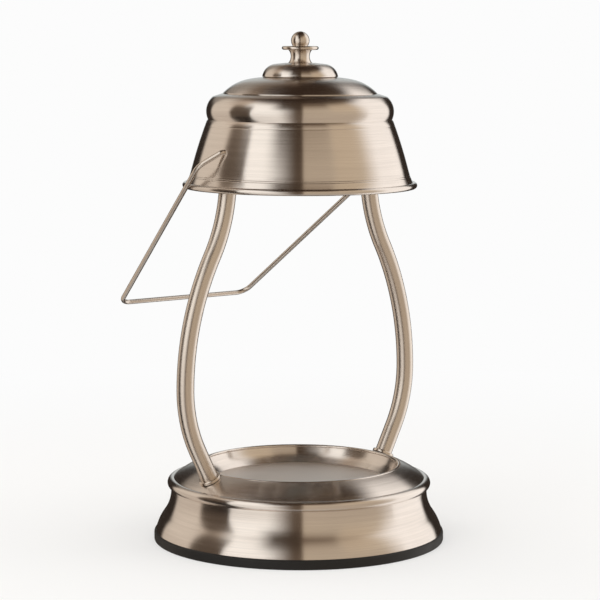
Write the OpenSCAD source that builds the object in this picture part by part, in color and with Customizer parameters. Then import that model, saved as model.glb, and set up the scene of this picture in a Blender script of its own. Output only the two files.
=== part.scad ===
// Candle warmer lamp: a shade on two bowed arms holds a halogen lamp over a jar candle.
// Millimetres, +Z up. Origin: centre of the underside. The arms stand on the X axis and the
// carrying handle leans towards +Y, the rear.

/* [Base] */
// Diameter over the black edging ring
base_d = 190; // [176:1:204]
// Height of the edging ring above the table
edging_h = 6.3; // [5.6:0.1:8]
// Thickness of the edging ring's lip outside the shell
edging_lip = 1.1; // [0.8:0.1:1.6]
// Thickness of the foam pad under the base
pad_t = 2; // [1.6:0.1:2.4]
// Thickness of the steel bottom plate
bottom_t = 1.2; // [0.8:0.1:1.6]
// Wall of the spun base shell
shell_t = 1; // [0.8:0.1:1.2]
// Radial width of the flare, from the waist out to the edging
flare_w = 10; // [8:0.5:12]
// Steepest lean of the flare from the vertical
flare_lean = 36; // [34:1:40]
// Radius of the hollow upper part of the flare
flare_r = 25.4; // [23:0.2:27]
// Height of the top of the flare
waist_h = 32.5; // [30:0.5:35]
// Straight stretch between the flare and the bead
waist_len = 1.8; // [1:0.1:3]
// Section radius of the bead under the deck
bead_r = 3.3; // [2.8:0.1:3.8]
// How far the bead stands out from the waist
bead_out = 2.4; // [1.8:0.1:2.8]
// Section radius of the domed deck
deck_r = 56; // [50:1:62]
// Slope of the deck at its outer edge
deck_fall = 39; // [36:1:42]
// Radial width of the deck
deck_w = 15.3; // [14.5:0.1:16]

/* [Candle pan] */
// Sheet thickness of the pan
pan_t = 0.8; // [0.6:0.1:1]
// Section radius of the rolled rim
rim_r = 1.2; // [1:0.1:1.5]
// How far the rim's crest stands above the edge of the deck
rim_proud = 0.45; // [0.2:0.05:0.8]
// Depth from the rim's crest to the pan floor
pan_depth = 11.9; // [10:0.1:14]
// Radial run of the pan's sloping wall
pan_run = 8; // [6:0.2:10]
// Thickness of the plate that the candle stands on
plate_t = 1; // [0.8:0.1:1.6]
// Diameter of the tie post under the pan
post_d = 14; // [12:0.5:18]
// Diameter of the tie screws
screw_d = 4; // [3:0.5:5]

/* [Arms] */
// Outside diameter of the arm tube
arm_d = 11.2; // [10:0.1:12]
// Wall of the arm tube
arm_t = 1; // [0.8:0.1:1.2]
// Distance of the arm's foot inside the edge of the base
foot_in = 22.7; // [22:0.1:24]
// How far the arm bows out beyond its foot
bow_out = 19.4; // [18:0.2:21]
// Height of the widest point of the bow
bow_h = 106; // [102:1:112]
// Bend radius under the shade
neck_bend_r = 106; // [90:1:120]
// Distance of the arm's top inside the lip of the shade
arm_in = 17.9; // [17:0.1:19.5]
// Length of arm that stands up inside the shade
arm_up = 18.5; // [16:0.5:20]
// Height above the underside of the shade where the arm becomes upright
neck_up = 9.4; // [8.5:0.1:10]
// Length of the plugs in the ends of the arms
plug_l = 10; // [8.5:0.5:12]
// Outside diameter of the foot collars
collar_d = 14.4; // [14:0.1:15]
// Thickness of the foot collars
collar_t = 2; // [1.5:0.1:3]
// Diameter of the hollow studs at both ends of the arms
stud_d = 6; // [5:0.5:6.5]
// Bore of the hollow studs
stud_bore = 3.2; // [3:0.1:3.6]
// Width of the stud nuts across their flats
nut_w = 9; // [8.5:0.5:10]
// Height of the stud nuts
nut_h = 3.2; // [2.4:0.2:4]

/* [Shade] */
// Diameter over the rolled lip of the shade
shade_d = 152; // [144:1:160]
// Height of the underside of the shade above the table
shade_z = 230.5; // [215:0.5:245]
// Sheet thickness of the shade
shade_t = 1; // [0.8:0.1:1.2]
// Section radius of the rolled lip
lip_r = 2; // [1.6:0.1:2.4]
// Height of the flare above the lip's centre
skirt_flare_h = 9.8; // [9:0.2:11]
// Radial width of the flare, from its top out to the lip's centre
skirt_flare_w = 3.8; // [3.4:0.1:4.4]
// Height of the cone
cone_h = 31.3; // [28:0.1:34]
// Radial run of the cone
cone_run = 9.9; // [9:0.1:11]
// Section radius of the bulging band above the cone
band_r = 12.5; // [11.5:0.1:14]
// How far the band bulges beyond its foot
band_bulge = 1.1; // [0.8:0.1:1.4]
// Radial width of the ledge that slopes up from the band to the dome
ledge_w = 6.7; // [5:0.1:7.5]
// Rise of the ledge
ledge_rise = 2; // [1.4:0.1:2.6]
// Section radius of the dome
dome_section_r = 30; // [28:0.5:32]
// Radius of the flat crown of the dome
crown_r = 24.9; // [24:0.1:26]

/* [Cap and finial] */
// Diameter of the small cap
cap_d = 49.2; // [46:0.2:50]
// Height of the small cap
cap_h = 8.7; // [8:0.1:9.5]
// Diameter of the collar under the cap
cap_collar_d = 44.8; // [40:0.2:45]
// Height of the collar under the cap
cap_collar_h = 0.5; // [0.4:0.1:1]
// Diameter of the finial's flange
flange_d = 23.8; // [20:0.2:26]
// Thickness of the finial's flange
flange_t = 2.4; // [2:0.1:3]
// Height of the finial's waisted neck
neck_h = 8.3; // [7.5:0.1:9.5]
// Diameter of the finial's neck at its ends
neck_d = 15.4; // [14.4:0.1:16.4]
// Depth of the waist in the finial's neck
neck_waist = 1.6; // [1.2:0.1:2]
// Diameter of the finial's ball
ball_d = 11.9; // [11:0.1:13]
// Diameter of the rod through the shade
rod_d = 6; // [5:0.5:6.5]

/* [Handle] */
// Diameter of the handle wire
wire_d = 3.2; // [2.8:0.1:3.4]
// Height of the handle's pivot above the underside of the shade
pivot_up = 25.3; // [23:0.1:27]
// Distance of the pivot in front of the arms
pivot_fwd = 6.5; // [6:0.1:7.5]
// Distance of the first bend outside the shade's wall, along the pivot
pin_out = 1.9; // [1.8:0.1:2.4]
// Distance from the pivot line to the shoulder bend
shoulder_drop = 14.7; // [13:0.1:16]
// Distance of the shoulder bend outside the first bend
shoulder_out = 10.3; // [9.6:0.1:11.4]
// Distance from the pivot line to the grip
handle_l = 173.7; // [165:0.1:180]
// Distance between the corners of the grip, before rounding
grip_w = 105.8; // [100:0.2:112]

/* [Lamp] */
// Diameter of the reflector lamp
bulb_d = 50.7; // [49:0.1:52]
// Length of the reflector lamp without its pins
bulb_l = 46.2; // [44:0.1:48]
// Height of the reflector bowl
bowl_h = 27; // [25:0.5:29]
// Diameter of the lamp's ceramic base
bulb_base_d = 24.6; // [23:0.2:26]
// Distance between the lamp's two pins
pin_gap = 10; // [10:0.1:10.4]
// Diameter of the pin heads
pin_head_d = 5; // [4.6:0.1:5.2]
// Turn that locks the lamp in its holder, in degrees
lock_turn = 28; // [20:1:32]
// Diameter of the ceramic holder
holder_d = 28; // [27:0.5:30]
// Height of the ceramic holder
holder_h = 12; // [11.5:0.1:14]
// Width of the bracket's steel strip
strip_w = 17; // [16:0.5:20]
// Thickness of the bracket's steel strip
strip_t = 1.5; // [1.2:0.1:2]
// Width of the bracket's crossbar
bar_w = 74; // [68:1:78]

/* [Wiring] */
// Diameter of the supply lead inside the lamp
lead_d = 2.6; // [2.4:0.1:2.8]
// Diameter of mains cord that the gland takes
cord_d = 6.2; // [5.6:0.1:6.6]
// Wall of the gland's neck
gland_t = 1.4; // [1.2:0.1:1.8]
// Radial width of the gland's outer flange
gland_flange = 1.6; // [1.2:0.1:2]
// Length of the terminal block
block_l = 22; // [18:1:26]
// Height of the terminal block
block_h = 10; // [9:0.5:12]

/* [Fits] */
// Gap between pieces that touch face to face
seat = 0.05; // [0.02:0.01:0.1]
// Radial gap of the handle's pins in the shade
pin_fit = 0.06; // [0.02:0.01:0.1]
// Gap between the lamp and its holder
lamp_gap = 0.3; // [0.2:0.05:0.4]
// Gap between the handle's legs and the shade's lip at rest
leg_gap = 0.35; // [0.2:0.05:0.5]
// Radial gap of a bolt or screw in its hole
hole_gap = 0.2; // [0.1:0.05:0.3]

/* [Hidden] */
$fn = 96;
small_fn = 48;

bend_swell = 0.03;
bend_trim = 0.06;
bend_lap = 0.2;

nickel = "#c3b6a7";
satin_nickel = "#b8ab9c";
steel = "#b9b9b6";
black = "#242322";
porcelain = "#ece7dc";

// Base: radii and heights that follow from the sizes above
base_r = base_d / 2;
shell_r = base_r - edging_lip - seat;
waist_r = shell_r - flare_w;
channel_t = 0.8;
channel_w = 3.4;
bottom_z = pad_t + bottom_t;
channel_z = bottom_z + channel_t;
shell_z = channel_z + seat;
flare_mid = [waist_r + flare_r * (1 - cos(flare_lean)), waist_h - flare_r * sin(flare_lean)];
flare_chord = atan2(shell_r - flare_mid.x, flare_mid.y - edging_h);
foot_lean = 2 * flare_chord - flare_lean;
flare_foot_r = (flare_mid.y - edging_h) / (sin(flare_lean) - sin(foot_lean));
bead_c = [waist_r + bead_out - bead_r,
    waist_h + waist_len + sqrt(bead_r * bead_r - pow(bead_r - bead_out, 2))];
bead_end = 105;
deck_from = bead_c + bead_r * [cos(bead_end), sin(bead_end)];
deck_c = deck_from - deck_r * [sin(deck_fall), cos(deck_fall)];
open_r = deck_from.x - deck_w;
function deck_slope(r) = asin((r - deck_c.x) / deck_r);
function deck_z(r) = deck_c.y + deck_r * cos(deck_slope(r));

// Pan: the rim's centre, the floor and the plate
edge_r = open_r - shell_t * sin(deck_slope(open_r));
rim_c = [edge_r - seat - rim_r, deck_z(open_r) + rim_proud - rim_r];
floor_z = rim_c.y + rim_r - pan_depth;
floor_r = rim_c.x - pan_run;
countersink = 0.9;

// Arms: foot on the deck, bow, neck bend and top, as the corners of a line with rounded bends
arm_r = arm_d / 2;
foot = [base_r - foot_in, deck_z(base_r - foot_in)];
foot_tilt = deck_slope(foot.x);
foot_dir = [sin(foot_tilt), cos(foot_tilt)];
bow = [foot.x + bow_out, bow_h];
lip_out = shade_d / 2;
arm_top = [lip_out - arm_in, shade_z + arm_up];
neck_z = shade_z + neck_up;
neck_turn = 2 * atan2(bow.x - arm_top.x, neck_z - bow.y);
bow_r = (neck_z - bow.y) / sin(neck_turn) - neck_bend_r;
leg_r = (bow_out * foot_dir.y - (bow.y - foot.y) * foot_dir.x) / (foot_dir.y - 1);
bow_low = [bow.x, bow.y - leg_r * tan(foot_tilt / 2)];
bow_high = [bow.x, bow.y + bow_r * tan(neck_turn / 2)];
neck_low = [arm_top.x, neck_z - neck_bend_r * tan(neck_turn / 2)];
arm_line = [foot + seat * foot_dir, bow_low, bow_high, neck_low, arm_top];
arm_bends = [0, leg_r, bow_r, neck_bend_r, 0];
sag = pow(nut_w / 2 / cos(30), 2) / (2 * (deck_r - shell_t));
nut_drop = shell_t + sag + 2 * seat;
plug_lift = 0.6;
top_plug_l = min(plug_l, arm_up - neck_up - 0.5);

// Shade: the lip's centre, the ends of the cone, the band, the ledge and the dome
lip_c = [lip_out - lip_r, shade_z + lip_r];
cone_low = [lip_c.x - skirt_flare_w, lip_c.y + skirt_flare_h];
cone_high = cone_low + [-cone_run, cone_h];
cone_curve = 3;
cone_chord = atan2(cone_run, cone_h);
cone_r = norm([cone_run, cone_h]) / (2 * sin(cone_curve));
flare_top_lean = cone_chord - cone_curve;
skirt_chord = atan2(skirt_flare_w, skirt_flare_h);
skirt_r = norm([skirt_flare_w, skirt_flare_h]) / (2 * sin(skirt_chord - flare_top_lean));
band_step = [-0.8, 1.1];
band_low = cone_high + band_step;
band_from = -acos(1 - band_bulge / band_r);
band_end = 49.5;
band_c = band_low - band_r * [cos(band_from), sin(band_from)];
band_high = band_c + band_r * [cos(band_end), sin(band_end)];
shoulder_z = band_high.y + ledge_rise;
dome_r = band_high.x - ledge_w;
dome_low = [dome_r, shoulder_z + seat + 0.4];
crown_lean = 4;
dome_lean = 12;
edge_lean = 46;
dome_mid = dome_low
    + dome_section_r * [sin(dome_lean) - sin(edge_lean), cos(dome_lean) - cos(edge_lean)];
dome_big_r = (dome_mid.x - crown_r) / (sin(dome_lean) - sin(crown_lean));
crown_z = dome_mid.y + dome_big_r * (cos(crown_lean) - cos(dome_lean));
ledge_r = dome_r - 0.7;
lip_ring_r = dome_r - 0.9;
lip_ring_drop = 3.4;

// Stack on the rod: collar, cap and finial
collar_z = crown_z + seat;
cap_z = collar_z + cap_collar_h + seat;
cap_top = cap_z + cap_h;
finial_z = cap_top + seat;
rod_r = rod_d / 2;
flange_z = finial_z + neck_h;
ball_sink = 2.45;
ball_c = flange_z + flange_t + ball_d / 2 - ball_sink;
rod_top = flange_z - 0.6;

// Lamp: bracket under the dome, holder under the bracket, lamp in the holder
rod_nut_h = 3.2;
bar_top = crown_z - shade_t - 2 * seat - rod_nut_h;
bar_z = bar_top - strip_t;
holder_top = bar_z - seat;
holder_z = holder_top - holder_h;
bulb_top = holder_z - lamp_gap;
bulb_z = bulb_top - bulb_l;
strip_foot_z = arm_top.y + seat;
bar_r = bar_w / 2;
nut_corner = nut_w / 2 / cos(30);
knee_gap = 1.6;
knee_r = arm_top.x - nut_corner - knee_gap;
pin_neck_r = pin_head_d / 2 - 0.9;
pin_r = pin_gap / 2;
slot_z = holder_z + 3.4;
pin_head_z = slot_z + lamp_gap;
pin_head_h = 3;
holder_bolt = [8.4, 6];
holder_bolt_r = 1.5;

// Lead: terminal block, foot, arm, then through the bracket's leg to the holder
block_in = 12;
block_w = 16;
lead_z = bottom_z + seat + block_h / 2;
lead_corner = foot - foot_dir * (foot.y - lead_z) / foot_dir.y;
lead_turn = [arm_top.x, bar_z - 26];
lead_end = [holder_d / 2 - 3, holder_z + 4.6];
block_x = -lead_corner.x + 4;
lead_line = [[lead_corner.x - 7, lead_z], lead_corner, bow_low, bow_high, neck_low,
    lead_turn, lead_end];
lead_bends = [0, 5, leg_r, bow_r, neck_bend_r, 8, 0];

// Handle: pivot in the shade's wall, and the lean at which its legs lie on the lip
wire_r = wire_d / 2;
pivot_z = shade_z + pivot_up;
function cone_at(z) = let (a = asin((z - cone_low.y + cone_r * sin(flare_top_lean)) / cone_r))
    cone_low.x - cone_r * (cos(flare_top_lean) - cos(a));
wall_x = sqrt(pow(cone_at(pivot_z), 2) - pivot_fwd * pivot_fwd);
pin_in = 2.2;
pin_end = wall_x - shade_t - pin_in;
first_x = wall_x + pin_out;
shoulder_x = first_x + shoulder_out;
grip_x = grip_w / 2;
function leg_x(t) = shoulder_x + (grip_x - shoulder_x) * (t - shoulder_drop) / (handle_l - shoulder_drop);
function leg_off(lean, t) = norm([norm([leg_x(t), t * sin(lean) - pivot_fwd]) - lip_c.x,
    pivot_z - t * cos(lean) - lip_c.y]);
function leg_clear(lean) = min([for (t = [shoulder_drop : 0.5 : handle_l / 2]) leg_off(lean, t)])
    - lip_r - wire_r;
function find_lean(lo, hi, n) = n == 0 ? (lo + hi) / 2 : leg_clear((lo + hi) / 2) > leg_gap
    ? find_lean(lo, (lo + hi) / 2, n - 1) : find_lean((lo + hi) / 2, hi, n - 1);
handle_lean = find_lean(35, 85, 14);
handle_line = [[pin_end, 0], [first_x, 0], [shoulder_x, -shoulder_drop], [grip_x, -handle_l],
    [-grip_x, -handle_l], [-shoulder_x, -shoulder_drop], [-first_x, 0], [-pin_end, 0]];
handle_bends = [0, 2.4, 12, 8.5, 8.5, 12, 2.4, 0];

// Cord gland at the rear of the flare
cord_r = cord_d / 2;
gland_r = cord_r + gland_t;
gland_rim = gland_r + gland_flange;
gland_z = edging_h + gland_rim + 0.4;
gland_back = shell_r - 12;
flare_c = [shell_r - flare_foot_r * cos(foot_lean), edging_h - flare_foot_r * sin(foot_lean)];
gland_lean = asin((gland_z - flare_c.y) / flare_foot_r);
gland_seat_r = flare_c.x + flare_foot_r * cos(gland_lean) + 2 * seat;
gland_cone = (gland_rim + 2) * tan(gland_lean);

// Points on an arc, without the first one when the arc carries a line on
function arc(c, r, from, to, steps = 10, skip = 0) =
    [for (i = [skip:steps]) let (a = from + (to - from) * i / steps) c + r * [cos(a), sin(a)]];
function unit(v) = v / norm(v);
function heading(p, i) = unit(p[i + 1] - p[i]);

// Outline of a sheet: the path, and the same path moved t to its left
function left(v) = [-v.y, v.x];
function beside(p, i, t) = let (n0 = left(heading(p, max(i - 1, 0))),
    n1 = left(heading(p, min(i, len(p) - 2))), m = unit(n0 + n1)) p[i] + m * t / (m * n0);
function sheet(p, t) = concat(p, [for (i = [len(p) - 1:-1:0]) beside(p, i, t)]);

// Rod or pipe along a line in the XZ plane, with each corner rounded to its own radius
function turn_at(p, i) = acos(heading(p, i - 1) * heading(p, i));
function reach(p, bends, i) = bends[i] == 0 ? 0 : bends[i] * tan(turn_at(p, i) / 2);

module pipe_end(r, bore) {
    difference() {
        circle(r, $fn = small_fn);
        if (bore > 0)
            circle(bore, $fn = small_fn);
    }
}

// The bends are a hair thicker than the straights and stop short of the tangent points, so each
// straight ends inside its bends and every joint has one clean edge
module bent_pipe(p, bends, r, bore = 0) {
    for (i = [0:len(p) - 2]) {
        d = heading(p, i);
        a = p[i] + d * (reach(p, bends, i) - (i > 0 ? bend_lap : 0));
        b = p[i + 1] - d * (reach(p, bends, i + 1) - (i < len(p) - 2 ? bend_lap : 0));
        translate([a.x, 0, a.y])
            rotate([0, atan2(d.x, d.y), 0])
                linear_extrude((b - a) * d)
                    pipe_end(r, bore);
    }
    for (i = [1:len(p) - 2]) {
        d0 = heading(p, i - 1);
        d1 = heading(p, i);
        c = p[i] + unit(d1 - d0) * bends[i] / cos(turn_at(p, i) / 2);
        left_turn = d0.x * d1.y - d0.y * d1.x > 0;
        q = left_turn ? p[i] - d0 * reach(p, bends, i) - c : p[i] + d1 * reach(p, bends, i) - c;
        trim = atan2(bend_trim, bends[i]);
        translate([c.x, 0, c.y])
            rotate([90, 0, 0])
                rotate([0, 0, atan2(q.y, q.x) + trim])
                    rotate_extrude(angle = turn_at(p, i) - 2 * trim, $fn = 180)
                        translate([bends[i], 0])
                            pipe_end(r + bend_swell, max(bore - bend_swell, 0));
    }
}

// Places its children at both arms: the left one as drawn, the right one turned half round
module both_arms() {
    for (a = [0, 180])
        rotate([0, 0, a])
            children();
}

// Places its children at the arm's foot, with +Z along the tube
module at_foot() {
    translate([foot.x, 0, foot.y])
        rotate([0, foot_tilt, 0])
            children();
}

module ring(r, bore, h) {
    difference() {
        cylinder(h = h, r = r, $fn = small_fn);
        translate([0, 0, -1])
            cylinder(h = h + 2, r = bore, $fn = small_fn);
    }
}

module hex_nut(w, bore, h) {
    difference() {
        rotate([0, 0, 30])
            cylinder(h = h, r = w / 2 / cos(30), $fn = 6);
        translate([0, 0, -1])
            cylinder(h = h + 2, r = bore, $fn = small_fn);
    }
}

// Round-headed screw, head up, seated at z = 0
module screw(r, l, head_r, head_h) {
    translate([0, 0, -l])
        cylinder(h = l + head_h / 2, r = r, $fn = small_fn);
    difference() {
        union() {
            cylinder(h = head_h * 0.5, r = head_r, $fn = small_fn);
            translate([0, 0, head_h * 0.5])
                cylinder(h = head_h * 0.5, r1 = head_r, r2 = head_r * 0.7, $fn = small_fn);
        }
        for (a = [0, 90])
            rotate([0, 0, a])
                translate([-head_r * 0.55, -head_r * 0.12, head_h * 0.45])
                    cube([head_r * 1.1, head_r * 0.24, head_h]);
    }
}

shell_line = concat(
    [[shell_r, shell_z], [shell_r, edging_h - 0.6]],
    arc(flare_c, flare_foot_r, foot_lean, flare_lean),
    arc([waist_r + flare_r, waist_h], flare_r, 180 + flare_lean, 180, skip = 1),
    arc(bead_c, bead_r, -acos((bead_r - bead_out) / bead_r), bead_end, 16),
    arc(deck_c, deck_r, 90 - deck_fall, 90 - deck_slope(open_r), skip = 1));

module base_pad() {
    color(black)
        difference() {
            cylinder(h = pad_t - seat, r = shell_r - shell_t - 1.5);
            translate([0, 0, 0.6])
                cylinder(h = pad_t, r = screw_d + 0.8, $fn = small_fn);
        }
}

module edging_ring() {
    inner = shell_r - shell_t;
    round_r = 1.6;
    color(black)
        rotate_extrude()
            polygon(concat(
                [[inner, 0], [base_r - 0.6, 0], [base_r, 0.6]],
                arc([base_r - round_r, edging_h - round_r * 1.4], round_r, 0, 60, 6),
                [[shell_r + seat, edging_h], [shell_r + seat, channel_z],
                    [inner - channel_w, channel_z], [inner - channel_w, bottom_z + seat],
                    [inner, bottom_z + seat]]));
}

module bottom_plate() {
    color(steel)
        translate([0, 0, pad_t])
            difference() {
                cylinder(h = bottom_t, r = shell_r - shell_t - 0.3);
                translate([0, 0, -1])
                    cylinder(h = bottom_t + 2, r = screw_d / 2 + hole_gap, $fn = small_fn);
            }
}

module base_shell() {
    color(nickel)
        difference() {
            rotate_extrude()
                polygon(sheet(shell_line, shell_t));
            both_arms()
                mirror([1, 0, 0])
                    at_foot()
                        translate([0, 0, -6])
                            cylinder(h = 12, r = stud_d / 2 + hole_gap, $fn = small_fn);
            translate([0, shell_r - 20, gland_z])
                rotate([-90, 0, 0])
                    cylinder(h = 30, r = gland_r + seat, $fn = small_fn);
        }
}

module centre_post() {
    color(steel)
        translate([0, 0, bottom_z + seat])
            ring(post_d / 2, screw_d / 2 + seat, floor_z - pan_t - bottom_z - 2 * seat);
}

module base_screw() {
    color(steel)
        translate([0, 0, pad_t - seat])
            rotate([180, 0, 0])
                screw(screw_d / 2, bottom_t + 9, screw_d * 0.95, 1.2);
}

module pan_screw() {
    color(steel)
        translate([0, 0, floor_z - countersink])
            union() {
                translate([0, 0, -2 * screw_d])
                    cylinder(h = 2 * screw_d + 0.2, r = screw_d / 2, $fn = small_fn);
                cylinder(h = 0.8, r1 = screw_d / 2, r2 = screw_d / 2 + 0.8, $fn = small_fn);
            }
}

// The inside of the dish, from the floor up to the rolled rim
pan_line = [[0, floor_z], [floor_r - 0.6, floor_z], [floor_r, floor_z + 0.3],
    [rim_c.x - pan_run * 0.42, floor_z + (rim_c.y - floor_z) * 0.45],
    rim_c + rim_r * [cos(205), sin(205)]];

module candle_pan() {
    under = [for (i = [len(pan_line) - 2:-1:0]) beside(pan_line, i, -pan_t)];
    color(nickel)
        difference() {
            rotate_extrude()
                polygon(concat(pan_line, arc(rim_c, rim_r, 205, -70, 22, 1), under));
            translate([0, 0, floor_z - countersink])
                cylinder(h = 1, r1 = screw_d / 2 + seat, r2 = screw_d / 2 + 1.1, $fn = small_fn);
        }
}

module pan_plate() {
    color("#aaa29c")
        translate([0, 0, floor_z + seat])
            cylinder(h = plate_t, r = floor_r - 0.9);
}

module cord_gland() {
    color(black)
        difference() {
            union() {
                translate([0, gland_back, gland_z])
                    rotate([-90, 0, 0])
                        cylinder(h = base_r - gland_back - 0.4, r = gland_r, $fn = small_fn);
                difference() {
                    translate([0, shell_r - 10, gland_z])
                        rotate([-90, 0, 0])
                            cylinder(h = base_r - shell_r + 9.8, r = gland_rim, $fn = small_fn);
                    translate([0, 0, gland_z - gland_rim - 2])
                        cylinder(h = 2 * gland_rim + 4, r1 = gland_seat_r + gland_cone,
                            r2 = gland_seat_r - gland_cone);
                }
            }
            translate([0, gland_back - 1, gland_z])
                rotate([-90, 0, 0])
                    cylinder(h = base_r, r = cord_r, $fn = small_fn);
        }
}

module gland_nut() {
    color(black)
        translate([0, gland_back + 0.6, gland_z])
            rotate([-90, 0, 0])
                hex_nut(2 * gland_r + 3, gland_r + seat, 3);
}

module terminal_block() {
    color(porcelain)
        difference() {
            translate([block_x, -block_w / 2, bottom_z + seat])
                cube([block_l, block_w, block_h]);
            translate([block_x - 1, 0, lead_z])
                rotate([0, 90, 0])
                    cylinder(h = block_in, r = lead_d / 2 + hole_gap, $fn = small_fn);
            for (x = [6, block_l - 6])
                translate([block_x + x, 0, bottom_z + block_h - 3])
                    cylinder(h = 5, r = 2, $fn = small_fn);
        }
}

module arm() {
    color(satin_nickel)
        mirror([1, 0, 0])
            bent_pipe(arm_line, arm_bends, arm_r, arm_r - arm_t);
}

module arm_left() {
    arm();
}

module arm_right() {
    rotate([0, 0, 180])
        arm();
}

module foot_collars() {
    round_r = 0.5;
    color(nickel)
        both_arms()
            mirror([1, 0, 0])
                at_foot()
                    translate([0, 0, seat])
                        rotate_extrude()
                            polygon([[arm_r + seat, 0], [collar_d / 2, 0],
                                [collar_d / 2, collar_t - round_r],
                                [collar_d / 2 - round_r, collar_t], [arm_r + seat, collar_t]]);
}

module foot_plugs() {
    color(steel)
        both_arms()
            mirror([1, 0, 0])
                at_foot()
                    translate([0, 0, plug_lift])
                        ring(arm_r - arm_t - seat, stud_d / 2 + seat, plug_l);
}

module foot_studs() {
    color(steel)
        both_arms()
            mirror([1, 0, 0])
                at_foot()
                    translate([0, 0, -nut_drop - nut_h - 1])
                        ring(stud_d / 2, stud_bore / 2, nut_drop + nut_h + plug_l);
}

module foot_nuts() {
    color(steel)
        both_arms()
            mirror([1, 0, 0])
                at_foot()
                    translate([0, 0, -nut_drop - nut_h])
                        hex_nut(nut_w, stud_d / 2 + seat, nut_h);
}

module top_plugs() {
    color(steel)
        both_arms()
            translate([-arm_top.x, 0, arm_top.y - top_plug_l])
                ring(arm_r - arm_t - seat, stud_d / 2 + seat, top_plug_l - seat);
}

module top_studs() {
    color(steel)
        both_arms()
            translate([-arm_top.x, 0, arm_top.y - top_plug_l])
                ring(stud_d / 2, stud_bore / 2, top_plug_l + strip_t + nut_h + 1);
}

module top_nuts() {
    color(steel)
        both_arms()
            translate([-arm_top.x, 0, strip_foot_z + strip_t + seat])
                hex_nut(nut_w, stud_d / 2 + seat, nut_h);
}

// Places its children at the lead's end in the holder, with +Z back along the lead
module along_lead_end() {
    back = lead_turn - lead_end;
    translate([-lead_end.x, 0, lead_end.y])
        rotate([0, -atan2(back.x, back.y), 0])
            children();
}

module lamp_bracket() {
    half = [[arm_top.x + 4.6, strip_foot_z], [knee_r, strip_foot_z], [bar_r, bar_z]];
    line = concat(half, [for (i = [2:-1:0]) [-half[i].x, half[i].y]]);
    color(steel)
        difference() {
            translate([0, strip_w / 2, 0])
                rotate([90, 0, 0])
                    linear_extrude(strip_w)
                        polygon(sheet(line, -strip_t));
            for (x = [-arm_top.x, arm_top.x])
                translate([x, 0, strip_foot_z - 1])
                    cylinder(h = strip_t + 2, r = stud_d / 2 + hole_gap, $fn = small_fn);
            translate([0, 0, bar_z - 1])
                cylinder(h = strip_t + 2, r = rod_r + seat, $fn = small_fn);
            for (s = [1, -1])
                translate([s * holder_bolt.x, s * holder_bolt.y, bar_z - 1])
                    cylinder(h = strip_t + 2, r = holder_bolt_r + hole_gap, $fn = small_fn);
            along_lead_end()
                translate([0, 0, 20])
                    cylinder(h = norm(lead_turn - lead_end) - 26, r = lead_d / 2 + 1, $fn = small_fn);
        }
}

// Room for one pin: a hole to put its head in, and a slot to turn its neck along
module pin_slot() {
    neck = pin_neck_r + hole_gap;
    head = pin_head_d / 2 + hole_gap;
    translate([0, 0, holder_z - 1])
        rotate_extrude(angle = lock_turn)
            translate([pin_r - neck, 0])
                square([2 * neck, 5]);
    translate([0, 0, slot_z])
        rotate_extrude(angle = lock_turn)
            translate([pin_r - head, 0])
                square([2 * head, 4]);
    translate([pin_r, 0, holder_z - 1])
        cylinder(h = 5, r = neck, $fn = small_fn);
    translate([pin_r, 0, slot_z])
        cylinder(h = 4, r = head, $fn = small_fn);
    rotate([0, 0, lock_turn])
        translate([pin_r, 0, holder_z - 1])
            cylinder(h = 8.4, r = head, $fn = small_fn);
}

module lamp_holder() {
    color(porcelain)
        difference() {
            translate([0, 0, holder_z])
                cylinder(h = holder_h, r = holder_d / 2);
            for (a = [90, 270])
                rotate([0, 0, a])
                    pin_slot();
            for (s = [1, -1])
                translate([s * holder_bolt.x, s * holder_bolt.y, holder_top - 9])
                    cylinder(h = 10, r = holder_bolt_r + seat, $fn = small_fn);
            along_lead_end()
                translate([0, 0, -0.5])
                    cylinder(h = 12, r = lead_d / 2 + hole_gap, $fn = small_fn);
        }
}

module holder_screws() {
    color(steel)
        for (s = [1, -1])
            translate([s * holder_bolt.x, s * holder_bolt.y, bar_top + seat])
                screw(holder_bolt_r, strip_t + 8, 2.7, 1.6);
}

module supply_lead() {
    color("#d8d4c8")
        mirror([1, 0, 0])
            bent_pipe(lead_line, lead_bends, lead_d / 2);
}

cone_c = [cone_low.x - cone_r * cos(flare_top_lean), cone_low.y - cone_r * sin(flare_top_lean)];
skirt_c = [cone_low.x + skirt_r * cos(flare_top_lean), cone_low.y + skirt_r * sin(flare_top_lean)];
flare_end = 2 * skirt_chord - flare_top_lean;
skirt_line = concat(
    arc(skirt_c, skirt_r, 180 + flare_end, 180 + flare_top_lean),
    arc(cone_c, cone_r, flare_top_lean, flare_top_lean + 2 * cone_curve, 6, 1),
    arc(band_c, band_r, band_from, band_end, 16),
    [[dome_r + 0.4, shoulder_z], [ledge_r, shoulder_z]]);

module shade_skirt() {
    color(nickel)
        difference() {
            rotate_extrude()
                union() {
                    polygon(sheet(skirt_line, shade_t));
                    translate(lip_c)
                        circle(lip_r, $fn = small_fn);
                }
            for (s = [-1, 1])
                translate([s * (wall_x - shade_t - 5), -pivot_fwd, pivot_z])
                    rotate([0, s * 90, 0])
                        cylinder(h = 12, r = wire_r + pin_fit, $fn = small_fn);
        }
}

dome_line = concat(
    [[dome_r, shoulder_z + seat]],
    arc(dome_low - dome_section_r * [sin(edge_lean), cos(edge_lean)], dome_section_r,
        90 - edge_lean, 90 - dome_lean, 12),
    arc(dome_mid - dome_big_r * [sin(dome_lean), cos(dome_lean)], dome_big_r,
        90 - dome_lean, 90 - crown_lean, 6, 1),
    [[rod_r + hole_gap, crown_z]]);

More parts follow.
